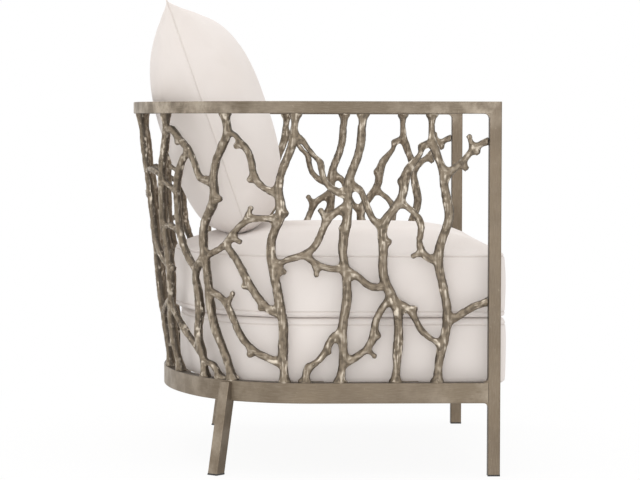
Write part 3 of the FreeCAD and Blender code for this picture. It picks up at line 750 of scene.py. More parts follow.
@dataclass
class TubeFrame:
    """Rails, posts and rear legs as bent or straight tube with softly broken edges."""

    sizes: ChairSizes
    edge: float = 0.0016
    support: float = 0.0007
    arc_steps: int = 4
    sharp_angle: float = 48.0
    arm_steps: int = 22
    turn_steps: int = 64
    post_rings: int = 12
    leg_rings: int = 9
    fillet: float = 0.008
    fillet_steps: int = 8
    fillet_sunk: float = 1.5
    # Painted shade in the fillets' hollow corners
    fillet_shade: float = 0.3
    glide: float = 0.003
    leg_turn: float = 40.0
    leg_splay: float = 11.6
    leg_proud: float = 0.007
    leg_setdown: float = 0.003
    leg_shade: float = 0.86
    arm_rub: float = 0.9
    seat_rub: float = 0.60
    post_rub: float = 0.10
    leg_rub: float = 0.90
    corner_reach: float = 0.030
    rub_middle: float = -0.03
    rub_reach: float = 0.28
    rub_power: float = 1.5
    # Painted shade on the faces turned to the shaded side, and how tightly it keeps to them
    painted_shade: float = 0.85
    painted_shade_power: int = 4

    def section(self, wide: float, high: float) -> tuple[list[tuple[float, float]], list[float]]:
        """Cross-section of a tube.

        Args:
            wide: Full width.
            high: Full height.

        Returns:
            Points round the section, and for each whether it lies on a broken edge, which takes painted shade.
        """
        points, edge_shade = [], []
        for quarter in range(4):
            sx, sy = ((1, 1), (-1, 1), (-1, -1), (1, -1))[quarter]
            cx, cy = sx * (wide / 2 - self.edge), sy * (high / 2 - self.edge)
            start = quarter * math.pi / 2
            for i in range(self.arc_steps + 1):
                angle = start + i * math.pi / 2 / self.arc_steps
                points.append((cx + self.edge * math.cos(angle), cy + self.edge * math.sin(angle)))
                edge_shade.append(1.0)
            first, last = points[-self.arc_steps - 1], points[-1]
            back = (math.sin(start), -math.cos(start))
            ahead = (-math.sin(start + math.pi / 2), math.cos(start + math.pi / 2))
            here = len(points) - self.arc_steps - 1
            points.insert(here, (first[0] + back[0] * self.support, first[1] + back[1] * self.support))
            edge_shade.insert(here, 0.0)
            points.append((last[0] + ahead[0] * self.support, last[1] + ahead[1] * self.support))
            edge_shade.append(0.0)
        return points, edge_shade

    def skin(self, name: str, rings: list[list[Vector]], edge_shade: list[float],
             rub: float, shade_facing: Vector, extra: list[list[Vector]] = ()) -> bpy.types.Object:
        """Close a row of rings into a tube, with extra prisms beside it.

        Args:
            name: Name of the new piece.
            rings: Rings of points, one after the other.
            edge_shade: Painted shade of each point of a ring, 1 on the broken edges.
            rub: How far the finish is rubbed light towards the front and the back.
            shade_facing: Direction of the faces that take painted shade.
            extra: Side outlines that are joined in pairs into prisms.

        Returns:
            The new object.
        """
        count = len(edge_shade)
        spots = [point for ring in rings for point in ring]
        shaded_edges = edge_shade * len(rings)
        faces = []
        for row in range(len(rings) - 1):
            for i in range(count):
                j = (i + 1) % count
                faces.append((row * count + i, row * count + j, (row + 1) * count + j, (row + 1) * count + i))
        faces.append(tuple(range(count - 1, -1, -1)))
        faces.append(tuple((len(rings) - 1) * count + i for i in range(count)))
        for left, right in zip(extra[::2], extra[1::2]):
            start, size = len(spots), len(left)
            spots += left + right
            shaded_edges += [self.fillet_shade] * (2 * size)
            faces.append(tuple(start + i for i in range(size)))
            faces.append(tuple(start + size + i for i in reversed(range(size))))
            for i in range(size):
                j = (i + 1) % size
                faces.append((start + i, start + j, start + size + j, start + size + i))
        mesh = bpy.data.meshes.new(name)
        mesh.from_pydata(spots, [], faces)
        face_out(mesh)
        smooth(mesh)
        mesh.set_sharp_from_angle(angle=math.radians(self.sharp_angle))
        # Painted shade along the broken edges and in the fillets
        store(mesh, "edge_shade", shaded_edges)
        away = np.abs(places(mesh)[:, 1] - self.rub_middle) / self.rub_reach
        store(mesh, "rub", rub * np.clip(away, 0, 1) ** self.rub_power)
        # Painted shade on the faces that turn towards the shaded direction
        shares = [max(0.0, face.normal.dot(shade_facing)) ** self.painted_shade_power for face in mesh.polygons]
        painted_shade = mesh.attributes.new("painted_shade", "FLOAT", "FACE")
        painted_shade.data.foreach_set("value", [self.painted_shade * share for share in shares])
        return linked(name, mesh)

    def rail(self, name: str, plan: Plan, front: float, low: float, high: float,
             rub: float, shade_facing: Vector, mitre: float | None = None) -> bpy.types.Object:
        """Tube that follows a U.

        Args:
            name: Name of the new piece.
            plan: Outer face of the rail.
            front: Where its straight arms start.
            low: Its underside.
            high: Its top.
            rub: How far it is rubbed light towards its ends.
            shade_facing: Direction of its face that takes painted shade.
            mitre: Front of the mitre at both ends, or None for square ends.

        Returns:
            The new object.
        """
        points, edge_shade = self.section(self.sizes.tube, high - low)
        rings = []
        for x, y, turn in plan.inset(self.sizes.tube / 2).path(front, self.arm_steps, self.turn_steps):
            out = Vector((-math.cos(turn), math.sin(turn), 0))
            spot = Vector((x, y, (low + high) / 2))
            rings.append([spot + out * a + Vector((0, 0, b)) for a, b in points])
        if mitre is not None:
            for ring in (rings[0], rings[-1]):
                for point in ring:
                    point.y = mitre + high - point.z
        return self.skin(name, rings, edge_shade, rub, shade_facing)

    def post(self, name: str, side: int) -> bpy.types.Object:
        """Front post with its mitred top and the cast fillets behind it.

        Args:
            name: Name of the new piece.
            side: -1 for the right one, 1 for the left one.

        Returns:
            The new object.
        """
        sizes = self.sizes
        points, edge_shade = self.section(sizes.tube, sizes.tube)
        middle = Vector((side * (sizes.half - sizes.tube / 2), (sizes.post_front + sizes.post_rear) / 2, 0))
        rings = []
        for level in np.linspace(self.glide, sizes.arm_low - self.corner_reach, self.post_rings):
            rings.append([middle + Vector((a, b, level)) for a, b in points])
        rings.append([middle + Vector((a, b, 0)) for a, b in points])
        for point in rings[-1]:
            point.z = sizes.arm_top - (point.y - sizes.post_front)
        extra = []
        for level, up in ((sizes.arm_low, -1), (sizes.seat_top, 1), (sizes.seat_low, -1)):
            for x in (-1, 1):
                edge = middle.x + x * (sizes.tube / 2 - self.edge / 3)
                extra.append([Vector((edge, y, z)) for y, z in self.fillet_outline(level, up)])
        # The post's back face, towards the twigs, takes painted shade
        piece = self.skin(name, rings, edge_shade, self.post_rub, Vector((0, 1, 0)), extra)
        self.rub_corner(piece)
        return piece

    def rub_corner(self, piece: bpy.types.Object) -> None:
        """Rub the top of a post as light as the arm that it meets, so that the mitre hardly shows.

        Args:
            piece: The post.
        """
        levels = places(piece.data)[:, 2]
        share = np.clip((levels - self.sizes.arm_low + self.corner_reach) / self.corner_reach, 0, 1)
        store(piece.data, "rub", self.post_rub + (self.arm_rub - self.post_rub) * share)

    def fillet_outline(self, level: float, up: int) -> list[tuple[float, float]]:
        """Outline of a fillet behind the post: a little way into post and rail, then the hollow arc.

        Args:
            level: Height of the rail's face.
            up: 1 where the fillet stands on the rail, -1 where it hangs below it.

        Returns:
            Points of y and z round the outline.
        """
        rear, size, sunk = self.sizes.post_rear, self.fillet, self.edge * self.fillet_sunk
        arc = []
        for i in range(self.fillet_steps + 1):
            angle = i * math.pi / 2 / self.fillet_steps
            arc.append((rear + size * (1 - math.cos(angle)), level + up * size * (1 - math.sin(angle))))
        inside = level - up * sunk
        return arc + [(rear + size, inside), (rear - sunk, inside), (rear - sunk, level + up * size)]

    def leg(self, name: str, side: int) -> bpy.types.Object:
        """Leaning rear leg, let into the outer face of the seat rail.

        Args:
            name: Name of the new piece.
            side: -1 for the right one, 1 for the left one.

        Returns:
            The new object.
        """
        sizes = self.sizes
        turn = math.radians(self.leg_turn)
        out = Vector((-math.cos(turn), math.sin(turn), 0))
        along = Vector((-math.sin(turn), -math.cos(turn), 0))
        top = sizes.seat_top - self.leg_setdown
        lean = math.tan(math.radians(self.leg_splay))
        axis = Vector((*sizes.seat_plan.point(turn), top)) + out * (self.leg_proud - sizes.tube / 2)
        points, edge_shade = self.section(sizes.tube, sizes.tube)
        rings = []
        for level in np.linspace(self.glide, top, self.leg_rings):
            spot = axis + (out * lean - Vector((0, 0, 1))) * (top - level)
            ring = [spot + out * a + along * b for a, b in points]
            rings.append([Vector((-side * point.x, point.y, point.z)) for point in ring])
        # The leg's side turned away from the light takes painted shade
        shaded = Vector((-side * along.x, along.y, 0)) * self.leg_shade
        return self.skin(name, rings, edge_shade, self.leg_rub, shaded)

    def build(self) -> None:
        """Make and dress all tubes."""
        sizes = self.sizes
        top, level, upright = ARM.material(), RAIL.material(), POST.material()
        up = Vector((0, 0, 1))
        # Painted shade goes under the arm rail, and on the seat rail's top where it meets the deck
        arm = self.rail("arm_rail_tube", sizes.arm_plan, sizes.post_rear + self.edge, sizes.arm_low,
                        sizes.arm_top, self.arm_rub, -up, sizes.post_front)
        hand_over(arm, Body.FRAME, Slot.TUBE, top, "arm_rail")
        seat = self.rail("seat_rail_tube", sizes.seat_plan, sizes.post_rear, sizes.seat_low,
                         sizes.seat_top, self.seat_rub, up)
        hand_over(seat, Body.FRAME, Slot.TUBE, level, "seat_rail")
        for word, side in (("right", -1), ("left", 1)):
            post = self.post(f"{word}_post_tube", side)
            hand_over(post, Body.FRAME, Slot.TUBE, upright, f"{word}_front_post")
            leg = self.leg(f"{word}_leg_tube", side)
            hand_over(leg, Body.FRAME, Slot.TUBE, upright, f"{word}_rear_leg")
        for node in ("front_rail", "front_bearer", "middle_bearer", "rear_bearer"):
            dress_node(node, level)


def dress_node(node: str, finish: bpy.types.Material) -> None:
    """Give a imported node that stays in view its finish.

    Args:
        node: Name of the node.
        finish: Its material.
    """
    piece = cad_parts[node]
    piece.data.materials.clear()
    piece.data.materials.append(finish)
    LOG.info("%s: packed node dressed", node)


# Twigs

# Places on the twig wall as reach and rise, and for shifts how far to move along each
KNOT_SHARES = (
    (0.505, 0.75), (0.57, 0.525), (0.835, 0.575), (0.81, 0.31), (0.135, 0.80), (0.42, 0.275), (0.63, 0.175),
    (0.91, 0.115), (1.02, 0.06), (1.115, 0.63), (1.425, 0.68), (1.595, 0.26), (1.322, 0.878), (1.268, 0.755),
    (1.325, 0.355), (1.245, 0.275), (1.315, 0.10), (1.61, 0.89), (1.75, 0.40),
)
COLLAR_SHARES = ((1.131, 0.413), (0.068, 0.858))
LIFT_SHARES = (
    (1.633, 0.911, 0.0, 0.034), (1.485, 0.728, 0.0, 0.034), (1.343, 0.885, 0.0, 0.036),
    (1.065, 0.899, 0.0, 0.026), (0.973, 0.869, 0.003, -0.025),
)
KNEE_SHARES = ((0.555, 0.908, 0.0, -0.024), (0.558, 0.871, 0.020, 0.0), (0.405, 0.900, -0.015, -0.023))
TIP_SHARES = (
    (0.112, 0.915), (0.428, 0.472), (0.648, 0.098), (0.955, 0.64), (0.978, 0.402), (1.272, 0.648),
    (1.335, 0.522), (1.392, 0.325), (1.672, 0.795),
)


@dataclass
class TwigLattice:
    """Twigs cast in one piece: webbed forks, knots, flared roots and a pitted, grained bark."""

    sizes: ChairSizes
    web: float = 0.0026
    voxel: float = 0.0026
    knot: float = 0.0062
    tip: float = 0.0050
    collar: float = 0.0055
    root: tuple[float, float, float] = (0.0105, 0.0125, 0.0090)
    root_level: float = 0.4 * MM
    lump_rounds: int = 3
    fatter: float = 0.0004
    lift_reach: float = 0.018
    first_rounds: int = 3
    first_share: float = 0.5
    last_rounds: int = 2
    last_share: float = 0.4
    axis_rounds: int = 6
    axis_keep: float = 0.3
    axis_power: int = 3
    across_weight: float = 0.01
    streak_rounds: int = 7
    streak_keep: float = 0.35
    swelling: float = 0.0009
    swell_scale: float = 42.0
    ripple_scale: float = 90.0
    ripple_share: float = 0.55
    grain_height: float = 0.00035
    pit_depth: float = 0.0006
    pit_scale: float = 150.0
    pit_from: float = 0.22
    pit_span: float = 0.3
    streak_relief: float = 1.1
    pit_relief: float = 1.9
    hollow_relief: float = 2.0
    heading_steps: int = 121
    wall_steps: int = 101
    wall_rises: tuple[float, ...] = (0, 0.5, 1)
    seed: int = 11

    def shell(self, name: str, nodes: list[str], whole_side: bool) -> bpy.types.Object:
        """Join merged copies of packed twigs with their knots and roots.

        Args:
            name: Name of the new piece.
            nodes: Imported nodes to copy.
            whole_side: Whether the knots, collars and stub ends of a side belong to it.

        Returns:
            An object whose twigs are thicker by the web.
        """
        whole = bmesh.new()
        roots = []
        for node in nodes:
            work = bmesh.new()
            work.from_mesh(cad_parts[node].data)
            bmesh.ops.remove_doubles(work, verts=work.verts, dist=1e-6)
            work.normal_update()
            roots += self.root_places(np.array([v.co for v in work.verts]))
            if whole_side:
                self.lift(work, LIFT_SHARES + KNEE_SHARES if "twigs" in node else KNEE_SHARES)
            for vertex in work.verts:
                vertex.co += vertex.normal * self.web
            copy = bpy.data.meshes.new(node)
            work.to_mesh(copy)
            work.free()
            whole.from_mesh(copy)
            bpy.data.meshes.remove(copy)
        for place in roots:
            self.lump(whole, place, tuple(radius + self.web for radius in self.root), self.heading(place))
        if whole_side:
            kinds = (self.knot, KNOT_SHARES), (self.tip, TIP_SHARES), (self.collar, COLLAR_SHARES)
            for size, shares in kinds:
                for reach, rise in shares:
                    self.lump(whole, self.sizes.wall_point(reach, rise)[0], (size + self.web,) * 3)
        mesh = bpy.data.meshes.new(name)
        whole.to_mesh(mesh)
        whole.free()
        return linked(name, mesh)

    def lift(self, work: bmesh.types.BMesh, shares: tuple[tuple[float, float, float, float], ...]) -> None:
        """Shift the ends and knees of side twigs along the wall, so that the forks open in a sharp V.

        Args:
            work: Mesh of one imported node.
            shares: Reach and rise of each place, and how far it moves along each.
        """
        for reach, rise, aside, more in shares:
            spot = self.sizes.wall_point(reach, rise)[0]
            shift = self.sizes.wall_point(reach + aside, rise + more)[0] - spot
            for vertex in work.verts:
                vertex.co += shift * math.exp(-((vertex.co - spot).length / self.lift_reach) ** 2)

    def root_places(self, spots: Array) -> list[Vector]:
        """Middle of each end that stands on a rail.

        Args:
            spots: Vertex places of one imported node.

        Returns:
            The places, on the faces of the rails.
        """
        found = []
        for level in (self.sizes.seat_top, self.sizes.arm_low):
            ends = spots[np.abs(spots[:, 2] - level) < self.root_level]
            if len(ends) > 2:
                middle = (ends.min(0) + ends.max(0)) / 2
                found.append(Vector((middle[0], middle[1], level)))
        return found

    def heading(self, place: Vector) -> float:
        """Angle in plan of the wall's outward direction at a place.

        Args:
            place: A place on the wall of either side.

        Returns:
            The angle from +X.
        """
        rise = (place.z - self.sizes.seat_top) / (self.sizes.arm_low - self.sizes.seat_top)
        walk = [self.sizes.wall_point(reach, rise) for reach in np.linspace(0, 2, self.heading_steps)]
        mirrored = Vector((-abs(place.x), place.y, place.z))
        out = min(walk, key=lambda step: (step[0] - mirrored).length)[1]
        return math.atan2(out.y, out.x if place.x < 0 else -out.x)

    def lump(self, work: bmesh.types.BMesh, place: Vector, radii: tuple[float, float, float],
             turn: float = 0.0) -> None:
        """Add an ellipsoid, turned in plan."""
        spot = Matrix.Translation(place) @ Matrix.Rotation(turn, 4, "Z") @ Matrix.Diagonal((*radii, 1.0))
        bmesh.ops.create_icosphere(work, subdivisions=self.lump_rounds, radius=1.0, matrix=spot)

    def cast(self, piece: bpy.types.Object) -> None:
        """Close the forks into webs and raise the bark.

        Args:
            piece: Joined twigs, thicker by the web.
        """
        grid = piece.modifiers.new("grid", "REMESH")
        grid.mode = "VOXEL"
        grid.voxel_size = self.voxel
        settle_modifiers(piece)
        mesh = piece.data
        ends = edge_ends(mesh)
        spots = places(mesh)
        for _ in range(self.first_rounds):
            spots += self.first_share * (spread(spots, ends) - spots)
        put(mesh, spots)
        spots -= outwards(mesh) * (self.web - self.fatter)
        put(mesh, spots)
        for _ in range(self.last_rounds):
            spots += self.last_share * (spread(spots, ends) - spots)
        put(mesh, spots)
        self.bark(mesh, spots, ends)
        smooth(mesh)

    def bark(self, mesh: bpy.types.Mesh, spots: Array, ends: Array) -> None:
        """Swell, groove and pit the surface along each twig, and keep the relief for the finish.

        Args:
            mesh: The cast twigs.
            spots: Their vertex places.
            ends: The two vertices of every edge.
        """
        normals = outwards(mesh)
        bend = (normals[:, :, None] * normals[:, None, :]).reshape(-1, 9)
        for _ in range(self.axis_rounds):
            bend = self.axis_keep * bend + (1 - self.axis_keep) * spread(bend, ends)
        along = np.linalg.eigh(bend.reshape(-1, 3, 3))[1][:, :, 0]
        run = spots[ends[:, 1]] - spots[ends[:, 0]]
        straight = np.einsum("ij,ij->i", run, along[ends[:, 0]]) ** 2
        length = np.einsum("ij,ij->i", run, run) + 1e-12
        weight = (straight / length) ** self.axis_power + self.across_weight
        streak = np.random.default_rng(self.seed).normal(size=len(spots))
        for _ in range(self.streak_rounds):
            streak = self.streak_keep * streak + (1 - self.streak_keep) * spread(streak, ends, weight)
        streak /= streak.std()
        swell = cloud_at(spots, self.swell_scale) + self.ripple_share * cloud_at(spots, self.ripple_scale)
        pits = cloud_at(spots, self.pit_scale)
        hollow = np.clip((-pits - self.pit_from) / self.pit_span, 0, 1)
        height = self.swelling * swell + self.grain_height * streak - self.pit_depth * hollow
        put(mesh, spots + normals * height[:, None])
        raised = streak * self.streak_relief + pits * self.pit_relief + swell
        store(mesh, "relief", raised - self.hollow_relief * hollow)
        # How squarely each face looks out of the wall; the finish paints shade on the sides and light on the
        # fronts from it
        store(mesh, "facing", np.abs(np.einsum("ij,ij->i", normals, self.wall_normals(spots))))

    def wall_normals(self, spots: Array) -> Array:
        """Outward direction of the wall at each place on the right side.

        Args:
            spots: The places.

        Returns:
            One direction for each place.
        """
        walk = [self.sizes.wall_point(reach, rise) for reach in np.linspace(0, 2, self.wall_steps)
                for rise in self.wall_rises]
        tree = tree_of([spot for spot, _ in walk])
        outs = np.array([out for _, out in walk])
        return outs[[tree.find((-abs(x), y, z))[1] for x, y, z in spots]]

    def build(self) -> None:
        """Make and dress the two sides and the twigs across the middle of the back."""
        finish = CastTwig().material()
        names = [name[len("right_"):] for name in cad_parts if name.startswith("right_")]
        twigs = sorted(name for name in names if "stem_" in name or "twigs" in name)
        right = self.shell("right_lattice", [f"right_{name}" for name in twigs], True)
        self.cast(right)
        mesh = right.data.copy()
        mesh.name = "left_lattice"
        put(mesh, places(mesh) * np.array([-1.0, 1.0, 1.0]))
        mesh.flip_normals()
        left = linked("left_lattice", mesh)
        back = self.shell("back_lattice", ["back_twigs"], False)
        self.cast(back)
        for piece, side in ((right, "right"), (left, "left")):
            hand_over(piece, Body.FRAME, Slot.TWIG, finish, *[f"{side}_{name}" for name in twigs])
        hand_over(back, Body.FRAME, Slot.TWIG, finish, "back_twigs")


# Cloth

# Steps between two points of a side profile
PROFILE_STEPS = 40
# Close rows on both sides of a seam, and the room that plain rows leave them
SEAM_ROWS = (0.0, 0.0007, 0.0015, 0.0025, 0.004)
SEAM_ROOM = 0.0055
# Side profiles: height above the lower edge, or for the deck's top above its upper edge, and roll-in
DECK_SIDE = (
    (0.0, 0.0140), (-0.0058, 0.0105), (-0.0058, 0.0055), (0.001, 0.0032), (0.014, 0.0024), (0.045, 0.0018),
    (0.080, 0.0020), (0.1005, 0.0034), (0.108, 0.0052),
)
DECK_TOP = ((-0.0008, 0.0095), (0.0, 0.0150))
DECK_SEAM = 0.1005
CUSHION_SIDE = (
    (0.0, 0.0130), (0.0008, 0.0080), (0.0040, 0.0052), (0.0100, 0.0042), (0.030, 0.0034), (0.056, 0.0026),
    (0.088, 0.0036), (0.1105, 0.0062), (0.1170, 0.0108), (0.1240, 0.0190),
)
CUSHION_SEAMS = (0.0100, 0.1105)


def profile_rows(points: list[tuple[float, float]], seams: list[float], step: float) -> tuple[Array, Array]:
    """Even rows along a side profile, with close rows at its seams.

    Args:
        points: Level and roll-in of the profile's points, from the bottom up.
        seams: Levels of the seams.
        step: Distance between two plain rows.

    Returns:
        Rows of level and roll-in, and the distance of each row from the nearest seam.
    """
    knots = np.array(points)
    knots = np.vstack([2 * knots[0] - knots[1], knots, 2 * knots[-1] - knots[-2]])
    fine = []
    for p0, p1, p2, p3 in zip(knots, knots[1:], knots[2:], knots[3:]):
        for t in np.linspace(0, 1, PROFILE_STEPS, endpoint=False):
            a, b = 2 * p0 - 5 * p1 + 4 * p2 - p3, 3 * p1 - p0 - 3 * p2 + p3
            fine.append((2 * p1 + (p2 - p0) * t + a * t ** 2 + b * t ** 3) / 2)
    fine = np.vstack([fine, knots[-2]])
    run = np.concatenate([[0], np.cumsum(np.linalg.norm(np.diff(fine, axis=0), axis=1))])
    marks = [np.interp(seam, fine[:, 0], run) for seam in seams]
    spots = list(np.linspace(0, run[-1], max(3, round(run[-1] / step))))
    spots = [s for s in spots if all(abs(s - mark) > SEAM_ROOM for mark in marks) or s in (0, run[-1])]
    for mark in marks:
        spots += [mark + sign * gap for gap in SEAM_ROWS for sign in (-1, 1) if gap or sign > 0]
    spots = np.array(sorted(s for s in spots if 0 <= s <= run[-1]))
    away = np.min([np.abs(spots - mark) for mark in marks], axis=0)
    return np.stack([np.interp(spots, run, fine[:, i]) for i in (0, 1)], axis=1), away


@dataclass
class Cloth:
    """What is done to a sewn skin: it is blown up from inside, then its seams pull in."""

    skin: bpy.types.Object
    seam_away: Array
    held: Array
    cap: float
    voxel: float = 0.0065
    pressure: float = 4.0
    frames: int = 20
    groove: float = 0.0016
    groove_width: float = 0.0013
    pucker: float = 0.0006
    pucker_reach: float = 0.030
    pucker_scale: float = 55.0
    pucker_share: float = 0.4
    quality: int = 4
    neighbours: int = 5
    nearest: float = 1e-4

    def swell(self) -> None:
        """Blow the skin up with a cloth simulation on an even copy, and follow what moved."""
        mesh = self.skin.data
        spots = places(mesh)
        copy = linked("swelling", mesh.copy())
        grid = copy.modifiers.new("grid", "REMESH")
        grid.mode = "VOXEL"
        grid.voxel_size = self.voxel
        settle_modifiers(copy)
        rest = places(copy.data)
        self.hold(copy, spots, rest)
        cloth = copy.modifiers.new("cloth", "CLOTH")
        cloth.settings.use_pressure = True
        cloth.settings.uniform_pressure_force = self.pressure
        cloth.settings.effector_weights.gravity = 0.0
        cloth.settings.vertex_group_mass = "held"
        cloth.settings.quality = self.quality
        cloth.collision_settings.use_collision = False
        cloth.collision_settings.use_self_collision = False
        cloth.point_cache.frame_start = 1
        cloth.point_cache.frame_end = self.frames
        for step in range(1, self.frames + 1):
            bpy.context.scene.frame_set(step)
        settle_modifiers(copy)
        moved = places(copy.data) - rest
        discard(copy)
        bpy.context.scene.frame_set(1)
        far = np.linalg.norm(moved, axis=1)
        moved *= (self.cap * np.tanh(far / self.cap) / np.maximum(far, 1e-9))[:, None]
        put(mesh, spots + self.follow(spots, rest, moved))
        LOG.info("%s: swelled by %.1f mm at most", self.skin.name, far.max() / MM)

    def hold(self, copy: bpy.types.Object, spots: Array, rest: Array) -> None:
        """Pin the copy where the skin is held.

        Args:
            copy: Even copy of the skin.
            spots: Vertex places of the skin.
            rest: Vertex places of the copy.
        """
        tree = tree_of(spots)
        group = copy.vertex_groups.new(name="held")
        for i, spot in enumerate(rest):
            weight = float(self.held[tree.find(spot)[1]])
            if weight > 0:
                group.add([i], weight, "REPLACE")

    def follow(self, spots: Array, rest: Array, moved: Array) -> Array:
        """Movement of the skin's own points, from the nearest points of the copy.

        Args:
            spots: Vertex places of the skin.
            rest: Vertex places of the copy before it swelled.
            moved: How far each point of the copy moved.

        Returns:
            One movement for each point of the skin.
        """
        tree = tree_of(rest)
        result = np.empty_like(spots)
        for i, spot in enumerate(spots):
            found = tree.find_n(spot, self.neighbours)
            weight = np.array([1 / (gap + self.nearest) for _, _, gap in found])
            near = moved[[index for _, index, _ in found]]
            result[i] = (near * weight[:, None]).sum(0) / weight.sum()
        return result

    def sew(self) -> None:
        """Pull the seams in, gather the cloth lightly beside them and keep them for the finish's painted seam
        shade.
        """
        mesh = self.skin.data
        spots = places(mesh)
        normals = outwards(mesh)
        groove = np.exp(-(self.seam_away / self.groove_width) ** 2)
        ripple = cloud_at(spots, self.pucker_scale)
        near = np.exp(-self.seam_away / self.pucker_reach) * (1 - groove)
        height = self.pucker * near * (self.pucker_share + ripple) - self.groove * groove
        put(mesh, spots + normals * height[:, None])
        # Kept for the finish's painted shade in the grooves
        store(mesh, "seam", groove)
        smooth(mesh)


@dataclass
class RingSkin:
    """Closed skin built from rings of equal count, from the middle of the bottom to the middle of the top."""

    rings: list[Array]
    level: list[bool]
    away: list[Array]

    def build(self, name: str) -> tuple[bpy.types.Object, Array]:
        """Make the mesh with its cloth coordinates.

        Args:
            name: Name of the new piece.

        Returns:
            The object, and the distance of each vertex from the nearest seam.
        """
        count = len(self.rings[0])
        spots = np.vstack([*self.rings, self.rings[0].mean(0), self.rings[-1].mean(0)])
        low, high = len(spots) - 2, len(spots) - 1
        last = (len(self.rings) - 1) * count
        widest = max(range(len(self.rings)), key=lambda row: np.ptp(self.rings[row][:, 0]))
        lap = np.linalg.norm(np.diff(np.vstack([self.rings[widest], self.rings[widest][:1]]), axis=0), axis=1)
        run = np.concatenate([[0], np.cumsum(lap)])
        faces, cloth = [], []
        for row in range(len(self.rings) - 1):
            flat = self.level[row] and self.level[row + 1]
            for i in range(count):
                j = (i + 1) % count
                face = (row * count + i, row * count + j, (row + 1) * count + j, (row + 1) * count + i)
                faces.append(face)
                along = (run[i], run[i + 1], run[i + 1], run[i])
                if flat:
                    cloth += [tuple(spots[index][:2]) for index in face]
                else:
                    cloth += [(x, spots[index][2]) for x, index in zip(along, face)]
        for middle, start, order in ((low, 0, 1), (high, last, -1)):
            for i in range(count):
                face = (middle, start + (i + 1) % count, start + i)[::order]
                faces.append(face)
                cloth += [tuple(spots[index][:2]) for index in face]
        mesh = bpy.data.meshes.new(name)
        mesh.from_pydata(spots.tolist(), [], faces)
        layer = mesh.uv_layers.new(name="cloth")
        layer.data.foreach_set("uv", np.array(cloth, np.float32).ravel())
        face_out(mesh)
        smooth(mesh)
        away = np.concatenate([*self.away, [1.0, 1.0]])
        return linked(name, mesh), away


@dataclass
class BoxedPad:
    """Upholstered deck or boxed cushion: a side band between two panels, on the plan of the seat."""

    name: str
    body: Body
    nodes: tuple[str, ...]
    plan: Plan
    front: float
    profile: list[tuple[float, float]]
    seams: list[float]
    crown: float
    crown_reach: float
    fill: float
    cap: float
    bottom_rows: int = 8
    top_rows: int = 30
    front_corner: float = 0.034
    step: float = 0.0085
    row_step: float = 0.0075
    crown_power: float = 2.6
    panel_reach: float = 0.985
    panel_power: float = 1.5
    bottom_away: float = 0.02
    seam_hold: float = 0.006
    edge_hold: float = 1.5 * MM

    def rings(self) -> tuple[RingSkin, list[int]]:
        """Lay out the rings.

        Returns:
            The skin's rings, and which of them are seams.
        """
        outline = self.plan.outline(self.front, self.front_corner, self.step)
        tangent = np.roll(outline, -1, 0) - np.roll(outline, 1, 0)
        out = np.stack([-tangent[:, 1], tangent[:, 0]], axis=1)
        out /= np.linalg.norm(out, axis=1)[:, None]
        rows, away = profile_rows(self.profile, self.seams, self.row_step)
        side = [np.column_stack([outline - out * roll, np.full(len(outline), level)]) for level, roll in rows]
        seam_rows = [self.bottom_rows + int(np.argmin(np.abs(rows[:, 0] - level))) for level in self.seams]
        middle = np.array([0.0, (outline[:, 1].min() + outline[:, 1].max()) / 2])
        bottom = self.panel(side[0], middle, self.bottom_rows, rows[0, 0], 0.0)[::-1]
        top = self.panel(side[-1], middle, self.top_rows, rows[-1, 0], self.crown)
        rings = bottom + side + top
        level = [True] * (len(bottom) + 1) + [False] * (len(side) - 2) + [True] * (len(top) + 1)
        count = len(outline)
        near = [np.full(count, away[0] + self.bottom_away)] * len(bottom)
        near += [np.full(count, gap) for gap in away]
        near += [away[-1] + np.linalg.norm(ring - side[-1], axis=1) for ring in top]
        return RingSkin(rings, level, near), seam_rows

    def panel(self, edge: Array, middle: Array, rows: int, level: float, crown: float) -> list[Array]:
        """Rings from a panel's edge towards its middle, raised to a crown.

        Args:
            edge: Ring of the panel's edge.
            middle: Middle of the plan.
            rows: Number of rings.
            level: Height of the edge.
            crown: Height of the crown above it.

        Returns:
            The rings, from the edge inwards.
        """
        made = []
        for share in np.linspace(0, 1, rows + 1)[1:]:
            share = self.panel_reach * share ** self.panel_power
            flat = edge[:, :2] + (middle - edge[:, :2]) * share
            gaps = np.linalg.norm(flat[:, None, :] - edge[None, :, :2], axis=2).min(1)
            rise = crown * (1 - (1 - np.clip(gaps / self.crown_reach, 0, 1)) ** self.crown_power)
            made.append(np.column_stack([flat, level + rise]))
        return made

    def build(self, finish: bpy.types.Material, thread: bpy.types.Material) -> bpy.types.Object:
        """Sew, swell and dress the pad.

        Args:
            finish: Cloth.
            thread: Thread of the seams.

        Returns:
            The finished piece.
        """
        rings, seam_rows = self.rings()
        piece, away = rings.build(self.name)
        spots = places(piece.data)
        held = np.exp(-(away / self.seam_hold) ** 2)
        held[spots[:, 2] < self.profile[0][0] + self.edge_hold] = 1.0
        if self.crown == 0:
            held[spots[:, 2] > self.profile[-1][0] - self.edge_hold] = 1.0
        work = Cloth(piece, away, held, self.cap)
        work.swell()
        work.sew()
        hand_over(piece, self.body, Slot.FABRIC, finish, *self.nodes)
        count = len(rings.rings[0])
        lines = [np.arange(row * count, (row + 1) * count) for row in seam_rows]
        SeamStitches(f"{self.name}_stitches", self.body).build(piece, lines, thread)
        return piece


